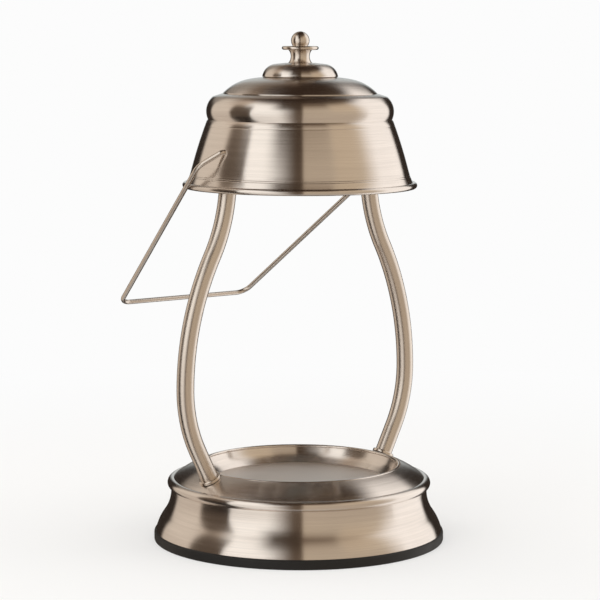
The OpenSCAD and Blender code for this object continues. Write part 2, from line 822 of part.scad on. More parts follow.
module shade_dome() {
    color(nickel)
        rotate_extrude()
            union() {
                polygon(sheet(dome_line, shade_t));
                polygon([[lip_ring_r - shade_t, shoulder_z - lip_ring_drop],
                    [lip_ring_r, shoulder_z - lip_ring_drop], [lip_ring_r, shoulder_z + 1],
                    [lip_ring_r - shade_t, shoulder_z + 1.6]]);
            }
}

module shade_rod() {
    color(steel)
        translate([0, 0, holder_top + seat])
            cylinder(h = rod_top - holder_top - seat, r = rod_r, $fn = small_fn);
}

module rod_nut() {
    color(steel)
        translate([0, 0, bar_top + seat])
            hex_nut(rod_d + 4, rod_r + seat, rod_nut_h);
}

module cap_collar() {
    color(satin_nickel)
        translate([0, 0, collar_z])
            ring(cap_collar_d / 2, rod_r + hole_gap, cap_collar_h);
}

module cap_spacer() {
    color(steel)
        translate([0, 0, cap_z])
            ring(rod_r + 3, rod_r + hole_gap, cap_h - shade_t - 2 * seat);
}

cap_edge_r = 9.5;
cap_c = [cap_d / 2 - cap_edge_r, cap_top - 0.6 - cap_edge_r];
cap_line = concat(
    [[cap_d / 2, cap_z + seat]],
    arc(cap_c, cap_edge_r, max(0, asin((cap_z + 0.3 - cap_c.y) / cap_edge_r)), 78, 12),
    [[neck_d / 2 + 2, cap_top], [rod_r + hole_gap, cap_top]]);

module shade_cap() {
    color(nickel)
        rotate_extrude()
            polygon(sheet(cap_line, shade_t));
}

module finial() {
    neck_arc = (neck_h * neck_h / 4 + neck_waist * neck_waist) / (2 * neck_waist);
    neck_half = asin(neck_h / 2 / neck_arc);
    half_t = flange_t / 2;
    color(satin_nickel)
        difference() {
            rotate_extrude()
                union() {
                    polygon(concat([[0, finial_z]],
                        arc([neck_d / 2 - neck_waist + neck_arc, finial_z + neck_h / 2],
                            neck_arc, 180 + neck_half, 180 - neck_half, 12),
                        [[0, flange_z]]));
                    translate([0, flange_z])
                        square([flange_d / 2 - half_t, flange_t]);
                    translate([flange_d / 2 - half_t, flange_z + half_t])
                        circle(half_t, $fn = small_fn);
                    translate([0, ball_c])
                        intersection() {
                            circle(ball_d / 2);
                            translate([0, -ball_d])
                                square(2 * ball_d);
                        }
                }
            translate([0, 0, finial_z - 1])
                cylinder(h = rod_top - finial_z + 1.5, r = rod_r + seat, $fn = small_fn);
        }
}

module handle() {
    color(satin_nickel)
        translate([0, -pivot_fwd, pivot_z])
            rotate([handle_lean, 0, 0])
                bent_pipe(handle_line, handle_bends, wire_r);
}

bulb_r = bulb_d / 2;
bulb_neck_r = bulb_base_d / 2 + 0.8;
bulb_neck_z = bulb_z + bowl_h;
bowl_t = 1.2;

// A short straight rim, then one arc up to the neck
module bulb_reflector() {
    belly_r = 52;
    rim = [bulb_r - 0.7, bulb_z + 3.8];
    neck = [bulb_neck_r, bulb_neck_z];
    fall = neck - rim;
    c = (rim + neck) / 2 - unit([fall.y, -fall.x]) * sqrt(belly_r * belly_r - fall * fall / 4);
    from = atan2(rim.y - c.y, rim.x - c.x);
    to = atan2(neck.y - c.y, neck.x - c.x);
    bowl = concat([[bulb_r, bulb_z], [bulb_r, bulb_z + 3]], arc(c, belly_r, from, to, 8));
    color("#d9dbe0")
        rotate_extrude()
            polygon(sheet(bowl, bowl_t));
}

module bulb_lens() {
    color([0.85, 0.9, 0.95, 0.5])
        translate([0, 0, bulb_z + 0.5])
            cylinder(h = 2, r = bulb_r - bowl_t - seat);
}

module bulb_base() {
    color(porcelain)
        translate([0, 0, bulb_neck_z - 1])
            difference() {
                union() {
                    cylinder(h = bulb_top - bulb_neck_z + 1, r = bulb_neck_r - bowl_t - seat);
                    translate([0, 0, 1 + seat])
                        cylinder(h = bulb_top - bulb_neck_z - seat, r = bulb_base_d / 2 + 0.6);
                }
                for (s = [-1, 1])
                    translate([0, s * pin_r, bulb_top - bulb_neck_z - 4])
                        cylinder(h = 8, r = pin_neck_r + seat / 2, $fn = small_fn);
            }
}

module bulb_capsule() {
    capsule_r = 4.4;
    tip = 10;
    color([0.95, 0.95, 0.9, 0.6])
        translate([0, 0, bulb_z + tip])
            union() {
                cylinder(h = bowl_h - 1 - seat - tip, r = capsule_r, $fn = small_fn);
                sphere(capsule_r, $fn = small_fn);
            }
}

module bulb_pins() {
    color(steel)
        for (s = [-1, 1])
            translate([0, s * pin_r, 0]) {
                translate([0, 0, bulb_top - 4])
                    cylinder(h = pin_head_z - bulb_top + 4.5, r = pin_neck_r, $fn = small_fn);
                translate([0, 0, pin_head_z])
                    cylinder(h = pin_head_h, r = pin_head_d / 2, $fn = small_fn);
            }
}

base_pad();
edging_ring();
bottom_plate();
base_shell();
centre_post();
base_screw();
pan_screw();
candle_pan();
pan_plate();
cord_gland();
gland_nut();
terminal_block();
arm_left();
arm_right();
foot_collars();
foot_plugs();
foot_studs();
foot_nuts();
top_plugs();
top_studs();
top_nuts();
lamp_bracket();
lamp_holder();
holder_screws();
supply_lead();
shade_skirt();
shade_dome();
shade_rod();
rod_nut();
cap_collar();
cap_spacer();
shade_cap();
finial();
handle();
bulb_reflector();
bulb_lens();
bulb_capsule();
bulb_base();
bulb_pins();
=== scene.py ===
"""Candle warmer lamp, dressed.

Fine meshes, finishes, floor, light and camera round the CAD frame.
"""

import logging
import math
from dataclasses import dataclass, field
from enum import Enum
from typing import Any, Iterable, Sequence

import bmesh
import bpy
from mathutils import Euler, Matrix, Vector


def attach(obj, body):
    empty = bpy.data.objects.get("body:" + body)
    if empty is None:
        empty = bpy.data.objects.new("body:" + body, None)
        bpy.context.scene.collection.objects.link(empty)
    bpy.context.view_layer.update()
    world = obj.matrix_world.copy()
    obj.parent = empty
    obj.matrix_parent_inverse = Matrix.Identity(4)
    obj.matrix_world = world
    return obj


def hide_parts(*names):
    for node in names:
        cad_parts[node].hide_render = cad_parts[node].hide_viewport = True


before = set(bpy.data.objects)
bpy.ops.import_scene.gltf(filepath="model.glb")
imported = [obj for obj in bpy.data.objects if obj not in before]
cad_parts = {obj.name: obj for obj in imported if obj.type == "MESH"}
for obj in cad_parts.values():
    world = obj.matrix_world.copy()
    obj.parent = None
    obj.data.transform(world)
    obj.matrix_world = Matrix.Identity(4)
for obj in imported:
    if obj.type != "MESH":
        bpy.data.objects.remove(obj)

LOG = logging.getLogger("candle_warmer_lamp")
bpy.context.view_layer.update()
MM = 0.001
SNAP = 0.004  # mm; points closer than this are one point

Point = tuple[float, float]
Node = bpy.types.Node
Tree = bpy.types.NodeTree
Object = bpy.types.Object
Material = bpy.types.Material


class Body(Enum):
    """The bodies of the lamp that move apart."""

    LAMP = "lamp"
    HANDLE = "handle"
    BULB = "bulb"


class Grain(Enum):
    """Which way the marks of the finishing belt run on a piece."""

    AROUND = "round the spun piece"
    ALONG = "along the drawn tube or wire"


# ---------------------------------------------------------------- small helpers


def linear(code: str) -> tuple[float, float, float, float]:
    """Turn an sRGB hex colour into a linear one.

    Args:
        code: The colour as six hex digits.

    Returns:
        Linear red, green, blue and an alpha of 1.
    """
    parts = [int(code[i:i + 2], 16) / 255 for i in (0, 2, 4)]
    lit = [c / 12.92 if c <= 0.04045 else ((c + 0.055) / 1.055) ** 2.4 for c in parts]
    return (lit[0], lit[1], lit[2], 1.0)


def add_node(tree: Tree, kind: str, inputs: dict[Any, Any] | None = None, **settings: Any) -> Node:
    """Add one node with its settings, values and links.

    Args:
        tree: The tree that gets the node.
        kind: Blender's name for the kind of node.
        inputs: For each input's name or number, a value or the socket that feeds it.
        **settings: Properties of the node.

    Returns:
        The new node.
    """
    node = tree.nodes.new(kind)
    for name, value in settings.items():
        setattr(node, name, value)
    for key, value in (inputs or {}).items():
        if isinstance(value, bpy.types.NodeSocket):
            tree.links.new(value, node.inputs[key])
        else:
            node.inputs[key].default_value = value
    return node


def new_tree(owner: Any) -> Tree:
    """Give a material or a world an empty node tree.

    Args:
        owner: The material or the world.

    Returns:
        Its node tree, emptied.
    """
    owner.use_nodes = True
    owner.node_tree.nodes.clear()
    return owner.node_tree


def sind(degrees: float) -> float:
    """Return the sine of an angle in degrees."""
    return math.sin(math.radians(degrees))


def cosd(degrees: float) -> float:
    """Return the cosine of an angle in degrees."""
    return math.cos(math.radians(degrees))


def bearing(centre: Point, point: Point) -> float:
    """Return the angle, in degrees, at which a centre sees a point."""
    return math.degrees(math.atan2(point[1] - centre[1], point[0] - centre[0]))


def polar(centre: Point, radius: float, degrees: float) -> Point:
    """Return the point of a circle at an angle in degrees."""
    return (centre[0] + radius * cosd(degrees), centre[1] + radius * sind(degrees))


def on_arc(centre: Point, radius: float, start: float, end: float, steps: int = 16) -> list[Point]:
    """Return an arc's points, cut into chords from one angle to another, in degrees."""
    return [polar(centre, radius, start + (end - start) * i / steps) for i in range(steps + 1)]


def tidy(points: Iterable[Point]) -> list[Point]:
    """Return the points without those that repeat the one before.

    Args:
        points: Points of an outline, in mm.

    Returns:
        The points that stay.
    """
    kept: list[Point] = []
    for p in points:
        if not kept or math.dist(p, kept[-1]) > SNAP:
            kept.append(p)
    return kept


def rounded(points: Sequence[Point], radii: Sequence[float], step: float = 12.0) -> list[Point]:
    """Round the corners of an open line.

    Args:
        points: The line's corners, in mm.
        radii: The radius at each point; 0 leaves a corner sharp.
        step: The most that one chord of an arc may turn, in degrees.

    Returns:
        The rounded line.
    """
    line: list[Point] = []
    for i, p in enumerate(points):
        if radii[i] <= 0 or i in (0, len(points) - 1):
            line.append(p)
            continue
        corner = Vector(p)
        before = (Vector(points[i - 1]) - corner).normalized()
        after = (Vector(points[i + 1]) - corner).normalized()
        turn = math.pi - before.angle(after)
        if turn < 1e-5:
            line.append(p)
            continue
        reach = radii[i] * math.tan(turn / 2)
        a, b = corner + before * reach, corner + after * reach
        centre = corner + (before + after).normalized() * (radii[i] / math.cos(turn / 2))
        count = max(2, math.ceil(math.degrees(turn) / step))
        from_centre = a - centre
        sign = 1 if from_centre.x * (b - centre).y - from_centre.y * (b - centre).x > 0 else -1
        for k in range(count + 1):
            angle = sign * turn * k / count
            c, s = math.cos(angle), math.sin(angle)
            line.append((centre.x + from_centre.x * c - from_centre.y * s,
                         centre.y + from_centre.x * s + from_centre.y * c))
    return tidy(line)


def beside(path: Sequence[Point], distance: float) -> list[Point]:
    """Return the path moved to its left by a distance in mm.

    Args:
        path: The points of an open line, in mm.
        distance: How far it moves; a negative distance moves it to its right.

    Returns:
        The moved line, with as many points.
    """
    moved: list[Point] = []
    for i, p in enumerate(path):
        a = Vector(path[max(i - 1, 0)])
        b = Vector(path[min(i + 1, len(path) - 1)])
        here = Vector(p)
        d0 = (here - a).normalized() if i else (b - here).normalized()
        d1 = (b - here).normalized() if i < len(path) - 1 else d0
        n0, n1 = Vector((-d0.y, d0.x)), Vector((-d1.y, d1.x))
        m = (n0 + n1).normalized()
        q = here + m * (distance / max(m.dot(n0), 0.5))
        moved.append((q.x, q.y))
    return moved


def sheet(path: Sequence[Point], thickness: float) -> list[Point]:
    """Return the closed outline of a sheet: its path, and back beside it on the left."""
    return list(path) + beside(path, thickness)[::-1]


def cut_line(path: Sequence[Point], height: float, width: float, depth: float) -> list[Point]:
    """Score a fine groove into an outline that climbs.

    Args:
        path: The outline, in mm.
        height: The height of the groove's middle.
        width: The groove's width along the surface.
        depth: Its depth; a negative one raises a ridge.

    Returns:
        The outline with the groove in it.
    """
    for i in range(len(path) - 1):
        (r0, z0), (r1, z1) = path[i], path[i + 1]
        if z0 <= height < z1:
            share = (height - z0) / (z1 - z0)
            middle = Vector((r0 + (r1 - r0) * share, height))
            along = (Vector(path[i + 1]) - Vector(path[i])).normalized()
            break
    else:
        raise ValueError(f"the outline never reaches {height} mm")
    inward = Vector((-along.y, along.x))
    low = [p for p in path[:i + 1] if (Vector(p) - middle).length > width * 0.6]
    high = [p for p in path[i + 1:] if (Vector(p) - middle).length > width * 0.6]
    cut: list[Point] = []
    for k in range(9):
        t = k / 4 - 1
        q = middle + along * (t * width / 2) + inward * (depth * (1 + math.cos(math.pi * t)) / 2)
        cut.append((q.x, q.y))
    return low + cut + high


# ---------------------------------------------------------------- meshes


def new_object(name: str, mesh: bpy.types.Mesh) -> Object:
    """Link a mesh into the scene as an object at the origin.

    Args:
        name: The new object's name.
        mesh: Its mesh.

    Returns:
        The new object.
    """
    piece = bpy.data.objects.new(name, mesh)
    bpy.context.scene.collection.objects.link(piece)
    return piece


def join_rings(bm: bmesh.types.BMesh, rings: Sequence[list[bmesh.types.BMVert]]) -> None:
    """Bridge each ring of points to the next, and the last to the first.

    Args:
        bm: The mesh that gets the faces.
        rings: The vertices of each ring, or the single one of a pole.
    """
    for ring, after in zip(rings, [*rings[1:], rings[0]]):
        sides = max(len(ring), len(after))
        for k in range(sides if sides > 1 else 0):
            m = (k + 1) % sides
            here = [ring[k], ring[m]] if len(ring) > 1 else ring
            there = [after[m], after[k]] if len(after) > 1 else after
            bm.faces.new([*here, *there])


def finished(name: str, bm: bmesh.types.BMesh, sharp: float) -> Object:
    """Turn a mesh in mm into an object whose corners over "sharp" degrees stay crisp.

    Args:
        name: The new object's name.
        bm: The mesh, which is freed.
        sharp: Corners that turn more than this many degrees stay crisp.

    Returns:
        The new object.
    """
    bm.transform(Matrix.Scale(MM, 4))
    bmesh.ops.recalc_face_normals(bm, faces=bm.faces)
    mesh = bpy.data.meshes.new(name)
    bm.to_mesh(mesh)
    bm.free()
    mesh.set_sharp_from_angle(angle=math.radians(sharp))
    return new_object(name, mesh)


def spun(name: str, outlines: Sequence[Sequence[Point]], segments: int = 192,
         sharp: float = 32.0, place: Matrix | None = None) -> Object:
    """Spin closed outlines about an axis into one piece.

    Every point keeps where it lies round the axis and along the outline in the attribute
    "brush", and the outline's own direction in "grain".

    Args:
        name: The piece's name.
        outlines: Closed outlines of (radius, height) in mm, each from a hidden point on.
        segments: Steps round the axis.
        sharp: Corners that turn more than this many degrees stay crisp.
        place: Where the spun piece goes, in mm; by default its axis is Z.

    Returns:
        The new object.
    """
    bm = bmesh.new()
    brush = bm.verts.layers.float_vector.new("brush")
    grain = bm.verts.layers.float_vector.new("grain")
    turns = [2 * math.pi * k / segments for k in range(segments)]
    for outline in outlines:
        points = tidy(outline)
        if math.dist(points[0], points[-1]) < SNAP:
            points.pop()
        travelled = 0.0
        rings: list[list[bmesh.types.BMVert]] = []
        for i, (r, z) in enumerate(points):
            way = (Vector(points[(i + 1) % len(points)]) - Vector(points[i - 1])).normalized()
            travelled += math.dist(points[i], points[i - 1]) if i else 0.0
            rings.append([])
            for a in turns if r >= 1e-6 else turns[:1]:
                c, s = math.cos(a), math.sin(a)
                vert = bm.verts.new((r * c, r * s, z))
                vert[brush] = (c, s, travelled)
                vert[grain] = (way.x * c, way.x * s, way.y)
                rings[-1].append(vert)
        join_rings(bm, rings)
    if place is not None:
        bm.transform(place)
        for vert in bm.verts:
            vert[grain] = place.to_3x3() @ vert[grain]
    return finished(name, bm, sharp)


def hex_nut(name: str, width: float, bore: float, height: float) -> Object:
    """Make a chamfered hexagon nut, in mm, that stands on z = 0.

    Args:
        name: The piece's name.
        width: Its width across the flats.
        bore: The radius of its hole.
        height: Its height.

    Returns:
        The new object.
    """
    bm = bmesh.new()
    corner = width / 2 / math.cos(math.pi / 6)
    cut, chamfer, sides = 0.45, 0.35, 48
    rings = []
    for z, trim in ((0.0, cut), (chamfer, 0.0), (height - chamfer, 0.0), (height, cut),
                    (height, None), (0.0, None)):
        ring = []
        for k in range(sides):
            a = 2 * math.pi * k / sides
            flat = (a + math.pi / 6) % (math.pi / 3) - math.pi / 6
            r = bore if trim is None else min(width / 2 / math.cos(flat), corner - trim)
            ring.append(bm.verts.new((r * math.sin(a), r * math.cos(a), z)))
        rings.append(ring)
    join_rings(bm, rings)
    return finished(name, bm, 20)


class NodeTool:
    """A Geometry Nodes tree with named inputs that makes a shape by a rule."""

    name = "tool"

    def __init__(self) -> None:
        """Build the tree once, with its geometry in and out."""
        self.tree = bpy.data.node_groups.new(self.name, "GeometryNodeTree")
        face = self.tree.interface
        face.new_socket("Geometry", in_out="INPUT", socket_type="NodeSocketGeometry")
        face.new_socket("Geometry", in_out="OUTPUT", socket_type="NodeSocketGeometry")
        for label, kind in self.sockets().items():
            face.new_socket(label, in_out="INPUT", socket_type=kind)
        self.entry = add_node(self.tree, "NodeGroupInput")
        made = self.build()
        real = add_node(self.tree, "GeometryNodeRealizeInstances", {0: made})
        coated = add_node(self.tree, "GeometryNodeSetMaterial", {
            "Geometry": real.outputs[0], "Material": self.entry.outputs["Material"]})
        add_node(self.tree, "NodeGroupOutput", {0: coated.outputs[0]})

    def sockets(self) -> dict[str, str]:
        """Return the tree's own inputs, each with its kind of socket."""
        return {"Material": "NodeSocketMaterial"}

    def build(self) -> bpy.types.NodeSocket:
        """Add the nodes and return the socket that holds the shape."""
        raise NotImplementedError

    def run(self, guide: Object, values: dict[str, Any], thickness: float = 0.0) -> Object:
        """Run the tree on a guide and turn the guide into the finished mesh.

        Args:
            guide: The object whose mesh guides the tree.
            values: The tree's inputs by their labels.
            thickness: A wall in mm, grown inwards, where the shape is a hollow skin.

        Returns:
            The guide, which now holds the finished mesh and no modifier.
        """
        modifier = guide.modifiers.new(self.name, "NODES")
        modifier.node_group = self.tree
        sockets = {s.name: s.identifier for s in self.tree.interface.items_tree
                   if s.item_type == "SOCKET" and s.in_out == "INPUT"}
        for label, value in values.items():
            modifier[sockets[label]] = value
        if thickness:
            wall = guide.modifiers.new("wall", "SOLIDIFY")
            wall.thickness = thickness * MM
            wall.offset = -1
        graph = bpy.context.evaluated_depsgraph_get()
        made = bpy.data.meshes.new_from_object(
            guide.evaluated_get(graph), preserve_all_data_layers=True, depsgraph=graph)
        guide.modifiers.clear()
        guide.data = made
        made.name = guide.name
        return guide


class SweepTool(NodeTool):
    """Sweeps a round section along a line, for tubes, wires and sleeves."""

    name = "sweep_round_section"

    def sockets(self) -> dict[str, str]:
        """Return the radius, the sides, whether the ends are closed, and the material."""
        return {"Radius": "NodeSocketFloat", "Sides": "NodeSocketInt",
                "Closed Ends": "NodeSocketBool", **super().sockets()}

    def build(self) -> bpy.types.NodeSocket:
        """Turn the guide's edges into a curve and sweep a circle along it.

        Returns:
            The socket that gives the swept mesh.
        """
        tree, entry = self.tree, self.entry.outputs
        line = add_node(tree, "GeometryNodeMeshToCurve", {"Mesh": entry["Geometry"]})
        length = add_node(tree, "GeometryNodeSplineParameter")
        place = add_node(tree, "GeometryNodeInputPosition")
        measured = add_node(tree, "GeometryNodeStoreNamedAttribute", {
            "Geometry": line.outputs[0], "Name": "along", "Value": length.outputs["Length"]},
            data_type="FLOAT", domain="POINT")
        circle = add_node(tree, "GeometryNodeCurvePrimitiveCircle", {
            "Resolution": entry["Sides"], "Radius": entry["Radius"]})
        section = add_node(tree, "GeometryNodeStoreNamedAttribute", {
            "Geometry": circle.outputs[0], "Name": "across", "Value": place.outputs[0]},
            data_type="FLOAT_VECTOR", domain="POINT")
        skin = add_node(tree, "GeometryNodeCurveToMesh", {
            "Curve": measured.outputs[0], "Profile Curve": section.outputs[0],
            "Fill Caps": entry["Closed Ends"]})
        along = add_node(tree, "GeometryNodeInputNamedAttribute", {"Name": "along"},
                         data_type="FLOAT")
        across = add_node(tree, "GeometryNodeInputNamedAttribute", {"Name": "across"},
                          data_type="FLOAT_VECTOR")
        parts = add_node(tree, "ShaderNodeSeparateXYZ", {0: across.outputs[0]})
        joined = add_node(tree, "ShaderNodeCombineXYZ", {
            0: parts.outputs[0], 1: parts.outputs[1], 2: along.outputs[0]})
        in_mm = add_node(tree, "ShaderNodeVectorMath", {0: joined.outputs[0], "Scale": 1 / MM},
                         operation="SCALE")
        brushed = add_node(tree, "GeometryNodeStoreNamedAttribute", {
            "Geometry": skin.outputs[0], "Name": "brush", "Value": in_mm.outputs[0]},
            data_type="FLOAT_VECTOR", domain="POINT")
        smooth = add_node(tree, "GeometryNodeSetShadeSmooth", {"Geometry": brushed.outputs[0]})
        return smooth.outputs[0]


class RepeatTool(NodeTool):
    """Sets copies of one piece on a guide's points, each turned as its point says."""

    name = "repeat_on_points"

    def sockets(self) -> dict[str, str]:
        """Return the piece to repeat, its scale and its material."""
        return {"Piece": "NodeSocketObject", "Scale": "NodeSocketFloat", **super().sockets()}

    def build(self) -> bpy.types.NodeSocket:
        """Put an instance of the piece on every point.

        Returns:
            The socket that gives the instances.
        """
        tree, entry = self.tree, self.entry.outputs
        piece = add_node(tree, "GeometryNodeObjectInfo", {"Object": entry["Piece"]})
        turn = add_node(tree, "GeometryNodeInputNamedAttribute", {"Name": "turn"},
                        data_type="FLOAT_VECTOR")
        rotation = add_node(tree, "FunctionNodeEulerToRotation", {0: turn.outputs[0]})
        placed = add_node(tree, "GeometryNodeInstanceOnPoints", {
            "Points": entry["Geometry"], "Instance": piece.outputs["Geometry"],
            "Rotation": rotation.outputs[0], "Scale": entry["Scale"]})
        return placed.outputs[0]


def guide_line(name: str, points: Sequence[Sequence[float]]) -> Object:
    """Make a guide of joined points, in mm, for the sweep.

    Args:
        name: The new object's name.
        points: Points (x, y, z) from one end to the other.

    Returns:
        The guide.
    """
    mesh = bpy.data.meshes.new(name)
    edges = [(i, i + 1) for i in range(len(points) - 1)]
    mesh.from_pydata([[v * MM for v in p] for p in points], edges, [])
    return new_object(name, mesh)


def guide_points(name: str, points: Sequence[Sequence[float]],
                 turns: Sequence[Sequence[float]]) -> Object:
    """Make a guide of loose points, in mm, each with its turn, in radians.

    Args:
        name: The new object's name.
        points: Points (x, y, z).
        turns: For each point, its turn about X, Y and Z.

    Returns:
        The guide.
    """
    mesh = bpy.data.meshes.new(name)
    mesh.from_pydata([[v * MM for v in p] for p in points], [], [])
    layer = mesh.attributes.new("turn", "FLOAT_VECTOR", "POINT")
    for datum, turn in zip(layer.data, turns):
        datum.vector = turn
    return new_object(name, mesh)


# ---------------------------------------------------------------- finishes


@dataclass(frozen=True)
class Finish:
    """A material by its real name, with the record's slot and its own colour."""

    name: str
    slot: str
    colour: str
    roughness: float

    def shade(self, tree: Tree, shader: Node) -> None:
        """Add what makes this finish more than one colour."""

    def fixed(self) -> dict[str, Any]:
        """Return the shader's values that are the same all over."""
        return {}

    def material(self) -> Material:
        """Return the finish's material, built the first time it is asked for.

        Returns:
            The material, which all pieces of this finish share.
        """
        known = bpy.data.materials.get(self.name)
        if known is not None:
            return known
        made = bpy.data.materials.new(self.name)
        tree = new_tree(made)
        shader = add_node(tree, "ShaderNodeBsdfPrincipled", {
            "Base Color": linear(self.colour), "Roughness": self.roughness, **self.fixed()})
        add_node(tree, "ShaderNodeOutputMaterial", {"Surface": shader.outputs[0]})
        self.shade(tree, shader)
        return made


@dataclass(frozen=True)
class BrushedNickel(Finish):
    """Nickel plate on steel, finished with a fine abrasive belt and lacquered.

    The belt leaves hair lines, so a reflection stays narrow along them and smears across them.
    """

    grain: Grain = Grain.AROUND
    anisotropy: float = 0.0
    line_pitch: float = 0.35   # mm; real lines are 0.05 mm apart, drawn coarser so that they show
    line_depth: float = 0.004  # mm
    line_tint: float = 0.1
    mottle: float = 0.05
    mottle_size: float = 45.45  # mm
    gloss: Point = (0.86, 1.16)

    def fixed(self) -> dict[str, Any]:
        """Return a metal whose highlight is longer across the lines."""
        return {"Metallic": 1.0, "Anisotropic": self.anisotropy}

    def shade(self, tree: Tree, shader: Node) -> None:
        """Draw the hair lines, a slow change of gloss and a faint change of tint.

        Args:
            tree: The material's node tree.
            shader: The material's main shader.
        """
        brush = add_node(tree, "ShaderNodeAttribute", attribute_name="brush").outputs["Vector"]
        fine, coarse = (1.6, 1.6, 1.0), (0.9, 0.9, 0.16)
        pitch = (1.0, 1.0, self.line_pitch)
        if self.grain is Grain.ALONG:
            fine, coarse = (1.0, 1.0, 0.02), (0.25, 0.25, 0.008)
            pitch = (self.line_pitch, self.line_pitch, 1.0)
        hair = []
        for scale, detail, roughness in ((fine, 3.0, 0.6), (coarse, 2.0, 0.5)):
            mapped = add_node(tree, "ShaderNodeMapping", {
                "Vector": brush, "Scale": [a / b for a, b in zip(scale, pitch)]})
            hair.append(add_node(tree, "ShaderNodeTexNoise", {
                "Vector": mapped.outputs[0], "Scale": 1.0, "Detail": detail,
                "Roughness": roughness}).outputs[0])
        lines = add_node(tree, "ShaderNodeMix", {
            "Factor": 0.4, 2: hair[0], 3: hair[1]}).outputs[0]
        where = add_node(tree, "ShaderNodeTexCoord").outputs["Object"]
        patch = add_node(tree, "ShaderNodeTexNoise", {
            "Vector": where, "Scale": 1 / (self.mottle_size * MM), "Detail": 2.0}).outputs[0]
        shares = [add_node(tree, "ShaderNodeMapRange", {
            "Value": value, "From Min": 0.3, "From Max": 0.7, "To Min": 1 - tint,
            "To Max": 1.0}).outputs[0]
            for value, tint in ((lines, self.line_tint), (patch, self.mottle))]
        both = add_node(tree, "ShaderNodeMath", {0: shares[0], 1: shares[1]},
                        operation="MULTIPLY").outputs[0]
        colour = add_node(tree, "ShaderNodeMix", {
            "Factor": 1.0, 6: linear(self.colour), 7: both},
            data_type="RGBA", blend_type="MULTIPLY")
        tree.links.new(colour.outputs[2], shader.inputs["Base Color"])
        rough = add_node(tree, "ShaderNodeMapRange", {
            "Value": lines, "From Min": 0.25, "From Max": 0.75,
            "To Min": self.roughness * self.gloss[0], "To Max": self.roughness * self.gloss[1]})
        tree.links.new(rough.outputs[0], shader.inputs["Roughness"])
        bump = add_node(tree, "ShaderNodeBump", {
            "Strength": 1.0, "Distance": self.line_depth * MM, "Height": lines})
        tree.links.new(bump.outputs[0], shader.inputs["Normal"])
        if self.anisotropy:
            way = add_node(tree, "ShaderNodeAttribute", attribute_name="grain")
            turned = add_node(tree, "ShaderNodeVectorTransform", {0: way.outputs["Vector"]},
                              vector_type="VECTOR", convert_from="OBJECT", convert_to="WORLD")
            tree.links.new(turned.outputs[0], shader.inputs["Tangent"])


@dataclass(frozen=True)
class Grained(Finish):
    """A moulded, fired or plated surface: a fine grain over a slow change of shade."""

    metallic: float = 0.0
    grain_size: float = 0.6    # mm
    grain_depth: float = 0.01  # mm
    patch_size: float = 12.0   # mm
    patch_tint: float = 0.15
    gloss_change: float = 0.12
    sheen: float = 0.0

    def fixed(self) -> dict[str, Any]:
        """Return the kind of surface and its sheen."""
        return {"Metallic": self.metallic, "Sheen Weight": self.sheen}

    def shade(self, tree: Tree, shader: Node) -> None:
        """Draw the grain and the patches.

        Args:
            tree: The material's node tree.
            shader: The material's main shader.
        """
        where = add_node(tree, "ShaderNodeTexCoord").outputs["Object"]
        grain = add_node(tree, "ShaderNodeTexNoise", {
            "Vector": where, "Scale": 1 / (self.grain_size * MM), "Detail": 3.0,
            "Roughness": 0.6}).outputs[0]
        patch = add_node(tree, "ShaderNodeTexNoise", {
            "Vector": where, "Scale": 1 / (self.patch_size * MM), "Detail": 3.0}).outputs[0]
        mixed = add_node(tree, "ShaderNodeMix", {"Factor": 0.35, 2: patch, 3: grain}).outputs[0]
        tint, rough = [add_node(tree, "ShaderNodeMapRange", {
            "Value": mixed, "From Min": 0.3, "From Max": 0.7, "To Min": low,
            "To Max": high}).outputs[0]
            for low, high in ((1 - self.patch_tint, 1.0),
                              (self.roughness, min(1.0, self.roughness + self.gloss_change)))]
        colour = add_node(tree, "ShaderNodeMix", {
            "Factor": 1.0, 6: linear(self.colour), 7: tint},
            data_type="RGBA", blend_type="MULTIPLY")
        tree.links.new(colour.outputs[2], shader.inputs["Base Color"])
        tree.links.new(rough, shader.inputs["Roughness"])
        bump = add_node(tree, "ShaderNodeBump", {
            "Strength": 1.0, "Distance": self.grain_depth * MM, "Height": grain})
        tree.links.new(bump.outputs[0], shader.inputs["Normal"])


@dataclass(frozen=True)
class WovenSleeve(Finish):
    """Woven glass-fibre sleeve: two sets of yarn that cross in small diamonds."""

    yarn: float = 0.45        # mm
    yarn_height: float = 0.1  # mm
    gap_colour: str = "8d877a"

    def shade(self, tree: Tree, shader: Node) -> None:
        """Cross two bands of waves along the sleeve.

        Args:
            tree: The material's node tree.
            shader: The material's main shader.
        """
        brush = add_node(tree, "ShaderNodeAttribute", attribute_name="brush")
        bands = []
        for lean in (math.pi / 4, -math.pi / 4):
            turned = add_node(tree, "ShaderNodeMapping", {
                "Vector": brush.outputs["Vector"], "Rotation": (0.0, lean, 0.0)})
            bands.append(add_node(tree, "ShaderNodeTexWave", {
                "Vector": turned.outputs[0], "Scale": 0.5 / self.yarn, "Distortion": 0.4},
                wave_type="BANDS", bands_direction="Z").outputs[1])
        weave = add_node(tree, "ShaderNodeMath", {0: bands[0], 1: bands[1]},
                         operation="MAXIMUM").outputs[0]
        colour = add_node(tree, "ShaderNodeMix", {
            "Factor": weave, 6: linear(self.gap_colour), 7: linear(self.colour)},
            data_type="RGBA")
        tree.links.new(colour.outputs[2], shader.inputs["Base Color"])
        bump = add_node(tree, "ShaderNodeBump", {
            "Strength": 1.0, "Distance": self.yarn_height * MM, "Height": weave})
        tree.links.new(bump.outputs[0], shader.inputs["Normal"])


